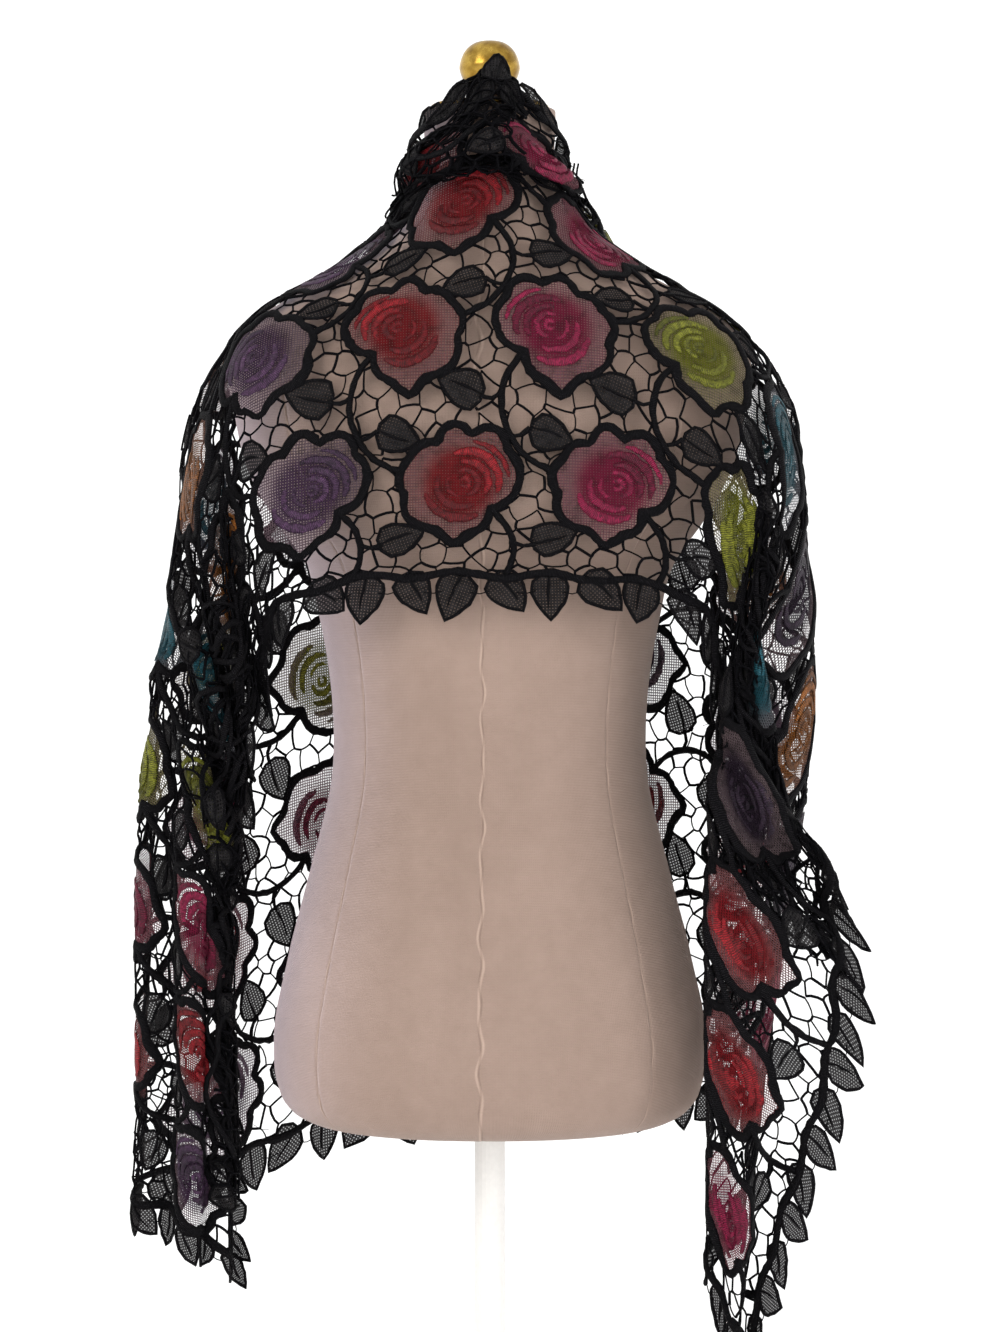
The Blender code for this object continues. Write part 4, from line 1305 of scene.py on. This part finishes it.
def brass():
    """Polished brass with finger marks and fine turning lines."""
    n = Shader("polished_brass")
    smudge = n.grain(45, 4, 0.6)
    n.set(
        Base_Color=n.mix(BRASS_DARK, BRASS_LIT, smudge.step(0.35, 0.65)),
        Metallic=1.0, Roughness=0.2 + 0.22 * smudge.step(0.4, 0.8),
    )
    n.bump(n.streaks((60, 60, 900), 2), 0.00004)
    return n.surface


def stand_enamel():
    """White enamel, a little uneven and dusty."""
    n = Shader("stand_enamel")
    orange_peel, dust = n.grain(260), n.grain(18, 4)
    n.set(
        Base_Color=n.mix(STAND_DARK, STAND_LIT, (dust * 0.5 + orange_peel * 0.5).step(0.2, 0.8)),
        Roughness=0.38 + 0.2 * dust, Coat_Weight=0.25, Coat_Roughness=0.2,
    )
    n.bump(orange_peel, 0.00006)
    return n.surface


def floor_paint():
    """White paint that glows a little, as the photo's ground is cut out."""
    n = Shader("floor_paint")
    colour = n.mix(FLOOR_DIM, FLOOR_LIT, n.grain(0.8))
    n.set(Base_Color=colour, Roughness=0.85, Emission_Color=colour, Emission_Strength=0.22)
    return n.surface


# Form, knob and stand


def form_section(height):
    """Half width and the two depths of the form, rounded through its table."""
    rows = np.array(FORM_SECTIONS, float)
    return [hermite(height, rows[:, 0], rows[:, k : k + 1])[..., 0] for k in (1, 2, 3)]


def seam_sink(angle, height):
    """How far the cover sinks in at its seams, with the small puckers that the stitches pull."""
    sink = np.zeros_like(angle * height)
    for place, depth in FORM_SEAMS:
        away = (angle - place + 180) % 360 - 180
        pull = np.sin(height * 2 * math.pi / SEAM_PUCKER + place)
        ridge = np.exp(-(((away - 1.3 * np.sign(pull)) / 1.1) ** 2)) * np.abs(pull) ** 0.5
        sink += depth * (0.6 * np.exp(-((away / 0.5) ** 2)) - 0.2 * ridge)
    return sink


def form_cover(surface, spacing, step):
    """The form's knitted cover, one closed skin from the underside to the top of the neck."""
    low, high, low_step = UNDERSIDE_ROWS
    top = [NECK_TOP - 2, NECK_TOP]
    heights = np.concatenate([np.arange(low, high, low_step), np.arange(high, top[0], step), top])
    angles = [(place + np.array(SEAM_COLUMNS)) % 360 for place, _ in FORM_SEAMS]
    angle = np.unique(np.concatenate([np.arange(0, 360, spacing), *angles]).round(3))
    x_share, y_share = (np.sign(way) * np.abs(way) ** (2 / FORM_SQUARENESS) for way in directions(angle).T)
    level = heights[:, None]
    half_width, behind, ahead = (row[:, None] for row in form_section(heights))
    proud = COVER_PROUD - seam_sink(angle, level)
    x = (half_width + proud) * x_share
    y = (np.where(y_share < 0, behind, ahead) + proud) * y_share
    cover = lofted("form_cover", np.stack([x, y, level + FORM_BOTTOM + 0 * x], -1), surface)

    # A map of the panels: turns round the form, whole on every face, and height
    corner = np.empty(len(cover.data.loops), np.int32)
    cover.data.loops.foreach_get("vertex_index", corner)
    place = np.append(np.tile(angle, len(heights)), (0, 0))[corner] / 360
    sides = place[: 4 * (len(heights) - 1) * len(angle)].reshape(-1, 4)
    sides[(np.ptp(sides, axis=1) > 0.5)[:, None] & (sides < 0.5)] = 1
    rise = np.append(np.repeat(heights, len(angle)), (0, 0))[corner] * METRES
    panel = cover.data.uv_layers.new(name="panel")
    panel.data.foreach_set("uv", np.stack([place, rise], axis=1).astype(np.float32).ravel())
    return cover


def lofted(name, rings, surface):
    """A closed skin through rings of points, lowest first, each running anticlockwise from above."""
    rows, columns = rings.shape[:2]
    points = rings.reshape(-1, 3)
    faces = grid_faces(rows, columns).tolist()
    ends = [rings[0].mean(axis=0), rings[-1].mean(axis=0)]
    low, high = len(points), len(points) + 1
    last = (rows - 1) * columns
    for k in range(columns):
        after = (k + 1) % columns
        faces += [(low, after, k), (high, last + k, last + after)]
    mesh = bpy.data.meshes.new(name)
    mesh.from_pydata((np.concatenate([points, ends]) * METRES).tolist(), [], faces)
    mesh.polygons.foreach_set("use_smooth", [True] * len(mesh.polygons))
    mesh.update()
    return linked(name, mesh, surface)


def turned(name, profile, bottom, surface, sides=72, step=0.8):
    """A turned piece from (radius, height) rows that start and end on the axis or near it."""
    radius, height = smooth_line(profile, step).T[..., None]
    turn = 2 * math.pi * np.arange(sides) / sides
    radius = np.maximum(radius, LEAST_RADIUS)
    rings = [radius * np.cos(turn), radius * np.sin(turn), height + bottom + 0 * turn]
    return lofted(name, np.stack(rings, axis=-1), surface)


# Settings


class LaceSettings(bpy.types.PropertyGroup):
    rim_width: bpy.props.FloatProperty(
        name="Rose rim", description="Width of the cord round each rose", default=0.0068, unit="LENGTH"
    )
    stem_width: bpy.props.FloatProperty(
        name="Stem", description="Width of the cord between roses", default=0.0052, unit="LENGTH"
    )
    edge_width: bpy.props.FloatProperty(
        name="Edge cord",
        description="Width of the cord that carries the trim",
        default=0.0064,
        unit="LENGTH",
    )
    net_width: bpy.props.FloatProperty(
        name="Net thread", description="Width of a thread of the net", default=0.0019, unit="LENGTH"
    )
    net_sides: bpy.props.IntProperty(
        name="Thread sides", description="Faces round a thread", default=5, min=3
    )


class FormSettings(bpy.types.PropertyGroup):
    cover_step: bpy.props.FloatProperty(
        name="Cover rows", description="Height of each row of faces", default=0.004, unit="LENGTH"
    )
    cover_angle: bpy.props.FloatProperty(
        name="Cover columns", description="Angle between columns of faces, in degrees", default=2.0, min=0.5
    )


class StageSettings(bpy.types.PropertyGroup):
    distance: bpy.props.FloatProperty(
        name="Distance", description="From the camera to the form", default=2.1, unit="LENGTH"
    )
    aim: bpy.props.FloatVectorProperty(
        name="Aim", description="Place that the camera looks at", default=(0.008, 0.0, 0.654), subtype="XYZ"
    )
    rise: bpy.props.FloatProperty(
        name="Rise",
        description="How far the camera stands above what it aims at",
        default=0.09,
        unit="LENGTH",
    )
    world_colour: bpy.props.FloatVectorProperty(
        name="Surroundings", description="Light from all round", default=(1.0, 1.0, 1.0), subtype="COLOR"
    )


# Operators


class MANTILLA_OT_net(bpy.types.Operator):
    """Make the net and the fine threads that tie the trim's leaves"""

    bl_idname = "mantilla.net"
    bl_label = "Net"

    def execute(self, context):
        settings = context.scene.lace
        drape, roses, leaves = plan()
        surface = net_thread()
        half = settings.net_width / METRES / 2
        threads = net_threads(roses, leaves)
        lines = on_cloth(drape, threads + bridge_threads())
        halves = list(half * (0.95 + 0.3 * np.sin(7.7 * np.arange(len(threads)))))
        halves += [0.5 * half] * (len(lines) - len(threads))
        loose = loose_hairs(drape)
        halves += [HAIR_HALF_WIDTH] * len(loose)
        net = thread_piece("lace_net", lines + loose, halves, settings.net_sides, surface)
        bunched = in_gathers(net_threads([], [], GATHER_PITCH, GATHER_SEED))
        lines = [line for lift in GATHER_LIFTS for line in on_cloth(drape, bunched, lift)]
        halves = [0.9 * half] * len(lines)
        gathers = thread_piece("lace_gathers", lines, halves, settings.net_sides, surface)
        for piece in (net, gathers):
            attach(piece, "root")
        return {"FINISHED"}


class MANTILLA_OT_cords(bpy.types.Operator):
    """Make the stems, the edge cord and the leaves' rims"""

    bl_idname = "mantilla.cords"
    bl_label = "Stems and leaf rims"

    def execute(self, context):
        settings = context.scene.lace
        drape, roses, leaves = plan()
        stems = stem_cords(drape, roses, settings.stem_width / METRES / 2, settings.edge_width / METRES / 2)
        surface = black_cord()
        for weave, name in ((stems, "lace_stems"), (leaf_cords(drape, leaves), "lace_leaf_rims")):
            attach(weave.piece(name, surface), "root")
        return {"FINISHED"}


class MANTILLA_OT_roses(bpy.types.Operator):
    """Make the roses' satin and rims, and the woven grounds that carry the whole cloth"""

    bl_idname = "mantilla.roses"
    bl_label = "Roses and grounds"

    def execute(self, context):
        settings = context.scene.lace
        drape, roses, leaves = plan()
        swirls, rims = rose_cords(drape, roses, settings.rim_width / METRES / 2)
        earlier = ("lace_net", "lace_gathers", "lace_stems", "lace_leaf_rims")
        parts = [bpy.data.objects[name] for name in earlier]
        made = ((swirls, "lace_satin", satin()), (rims, "lace_rose_rims", black_cord()))
        for weave, name, surface in made:
            parts.append(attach(weave.piece(name, surface), "root"))
        grounds = Weave()
        for rose in roses:
            rose_cloth(grounds, drape, rose)
        leaf_cloths(grounds, drape, leaves)
        ground = grounds.piece("lace_ground", rose_ground(), leaf_ground())
        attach(ground, "root")
        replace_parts(ground, *LACE_NODES)
        return {"FINISHED"}


class MANTILLA_OT_form(bpy.types.Operator):
    """Cover the form in knitted jersey"""

    bl_idname = "mantilla.form"
    bl_label = "Form"

    def execute(self, context):
        settings = context.scene.dress_form
        cover = form_cover(jersey(), settings.cover_angle, settings.cover_step / METRES)
        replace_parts(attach(cover, "root"), "form_body")
        return {"FINISHED"}


class MANTILLA_OT_knob(bpy.types.Operator):
    """Turn the brass cap and knob"""

    bl_idname = "mantilla.knob"
    bl_label = "Cap and knob"

    def execute(self, context):
        surface = brass()
        made = (("brass_cap", "neck_cap", CAP_PROFILE), ("brass_knob", "neck_knob", KNOB_PROFILE))
        for name, node, profile in made:
            piece = turned(name, profile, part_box(node)[0][2] / METRES, surface)
            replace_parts(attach(piece, "root"), node)
        return {"FINISHED"}


class MANTILLA_OT_stand(bpy.types.Operator):
    """Paint the stand"""

    bl_idname = "mantilla.stand"
    bl_label = "Stand"

    def execute(self, context):
        surface = stand_enamel()
        for name in ("stand_base", "stand_pole"):
            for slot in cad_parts[name].material_slots:
                slot.material = surface
        return {"FINISHED"}


class MANTILLA_OT_stage(bpy.types.Operator):
    """Lay the floor, hang the lights and place the camera"""

    bl_idname = "mantilla.stage"
    bl_label = "Stage"

    def execute(self, context):
        settings = context.scene.stage
        lay_floor(floor_paint())
        aim = Vector(settings.aim)
        for name, place, size, watts, colour in LIGHTS:
            data = bpy.data.lights.new(name, "AREA")
            data.shape = "RECTANGLE"
            data.size, data.size_y = size
            data.energy, data.color = watts, colour
            lamp = bpy.data.objects.new(name, data)
            lamp.location = place
            lamp.rotation_euler = (aim - Vector(place)).to_track_quat("-Z", "Y").to_euler()
            context.scene.collection.objects.link(lamp)
            if name == LAMP_FOR_FORM and "form_cover" in bpy.data.objects:
                form = bpy.data.collections.new("form_edge")
                form.objects.link(bpy.data.objects["form_cover"])
                lamp.light_linking.receiver_collection = lamp.light_linking.blocker_collection = form
        world = bpy.data.worlds.new("Studio")
        world.use_nodes = True
        world.node_tree.nodes["Background"].inputs["Color"].default_value = (*settings.world_colour, 1)
        context.scene.world = world
        data = bpy.data.cameras.new("Camera")
        data.sensor_fit, data.sensor_height = "VERTICAL", SENSOR_HEIGHT
        data.lens = SENSOR_HEIGHT * settings.distance / PHOTO_HEIGHT
        camera = bpy.data.objects.new("Camera", data)
        tilt = math.atan2(settings.rise, settings.distance)
        camera.location = aim + Vector((0, -math.cos(tilt), math.sin(tilt))) * settings.distance
        camera.rotation_euler = (math.pi / 2 - tilt, 0, 0)
        context.scene.collection.objects.link(camera)
        context.scene.camera = camera
        context.scene.view_settings.view_transform = "Standard"
        return {"FINISHED"}


def lay_floor(surface, sides=96):
    """A round floor whose rim sweeps up into a low wall, one smooth sheet."""
    flat = FLOOR_RADII[-1]
    profile = [(radius, 0.0) for radius in FLOOR_RADII]
    for a in np.radians(np.arange(7.5, 91, 7.5)):
        profile.append((flat + SWEEP_RADIUS * math.sin(a), SWEEP_RADIUS * (1 - math.cos(a))))
    profile.append((flat + SWEEP_RADIUS, WALL_HEIGHT))
    turn = 2 * math.pi * np.arange(sides) / sides
    points = [(0.0, 0.0, 0.0)] + [(r * math.cos(a), r * math.sin(a), z) for r, z in profile for a in turn]
    faces = [(0, 1 + k, 1 + (k + 1) % sides) for k in range(sides)]
    faces += (grid_faces(len(profile), sides)[:, ::-1] + 1).tolist()
    mesh = bpy.data.meshes.new("floor")
    mesh.from_pydata(points, [], faces)
    mesh.polygons.foreach_set("use_smooth", [True] * len(faces))
    linked("floor", mesh, surface)


class MANTILLA_PT_panel(bpy.types.Panel):
    """Everything that makes up the draped form"""

    bl_label = "Mantilla"
    bl_idname = "MANTILLA_PT_panel"
    bl_space_type = "VIEW_3D"
    bl_region_type = "UI"
    bl_category = "Mantilla"

    def draw(self, context):
        for settings in (context.scene.lace, context.scene.dress_form, context.scene.stage):
            for key in settings.bl_rna.properties.keys():
                if key not in ("rna_type", "name"):
                    self.layout.prop(settings, key)
        for operator in OPERATORS:
            self.layout.operator(operator.bl_idname)


OPERATORS = (
    MANTILLA_OT_form,
    MANTILLA_OT_net,
    MANTILLA_OT_cords,
    MANTILLA_OT_roses,
    MANTILLA_OT_knob,
    MANTILLA_OT_stand,
    MANTILLA_OT_stage,
)
CLASSES = (LaceSettings, FormSettings, StageSettings, *OPERATORS, MANTILLA_PT_panel)
GROUPS = (("lace", LaceSettings), ("dress_form", FormSettings), ("stage", StageSettings))


def register():
    for made in CLASSES:
        bpy.utils.register_class(made)
    for name, group in GROUPS:
        setattr(bpy.types.Scene, name, bpy.props.PointerProperty(type=group))


def unregister():
    for name, _ in GROUPS:
        delattr(bpy.types.Scene, name)
    for made in reversed(CLASSES):
        bpy.utils.unregister_class(made)


def main():
    register()
    for operator in OPERATORS:
        group, name = operator.bl_idname.split(".")
        getattr(getattr(bpy.ops, group), name)()


if __name__ == "__main__":
    main()
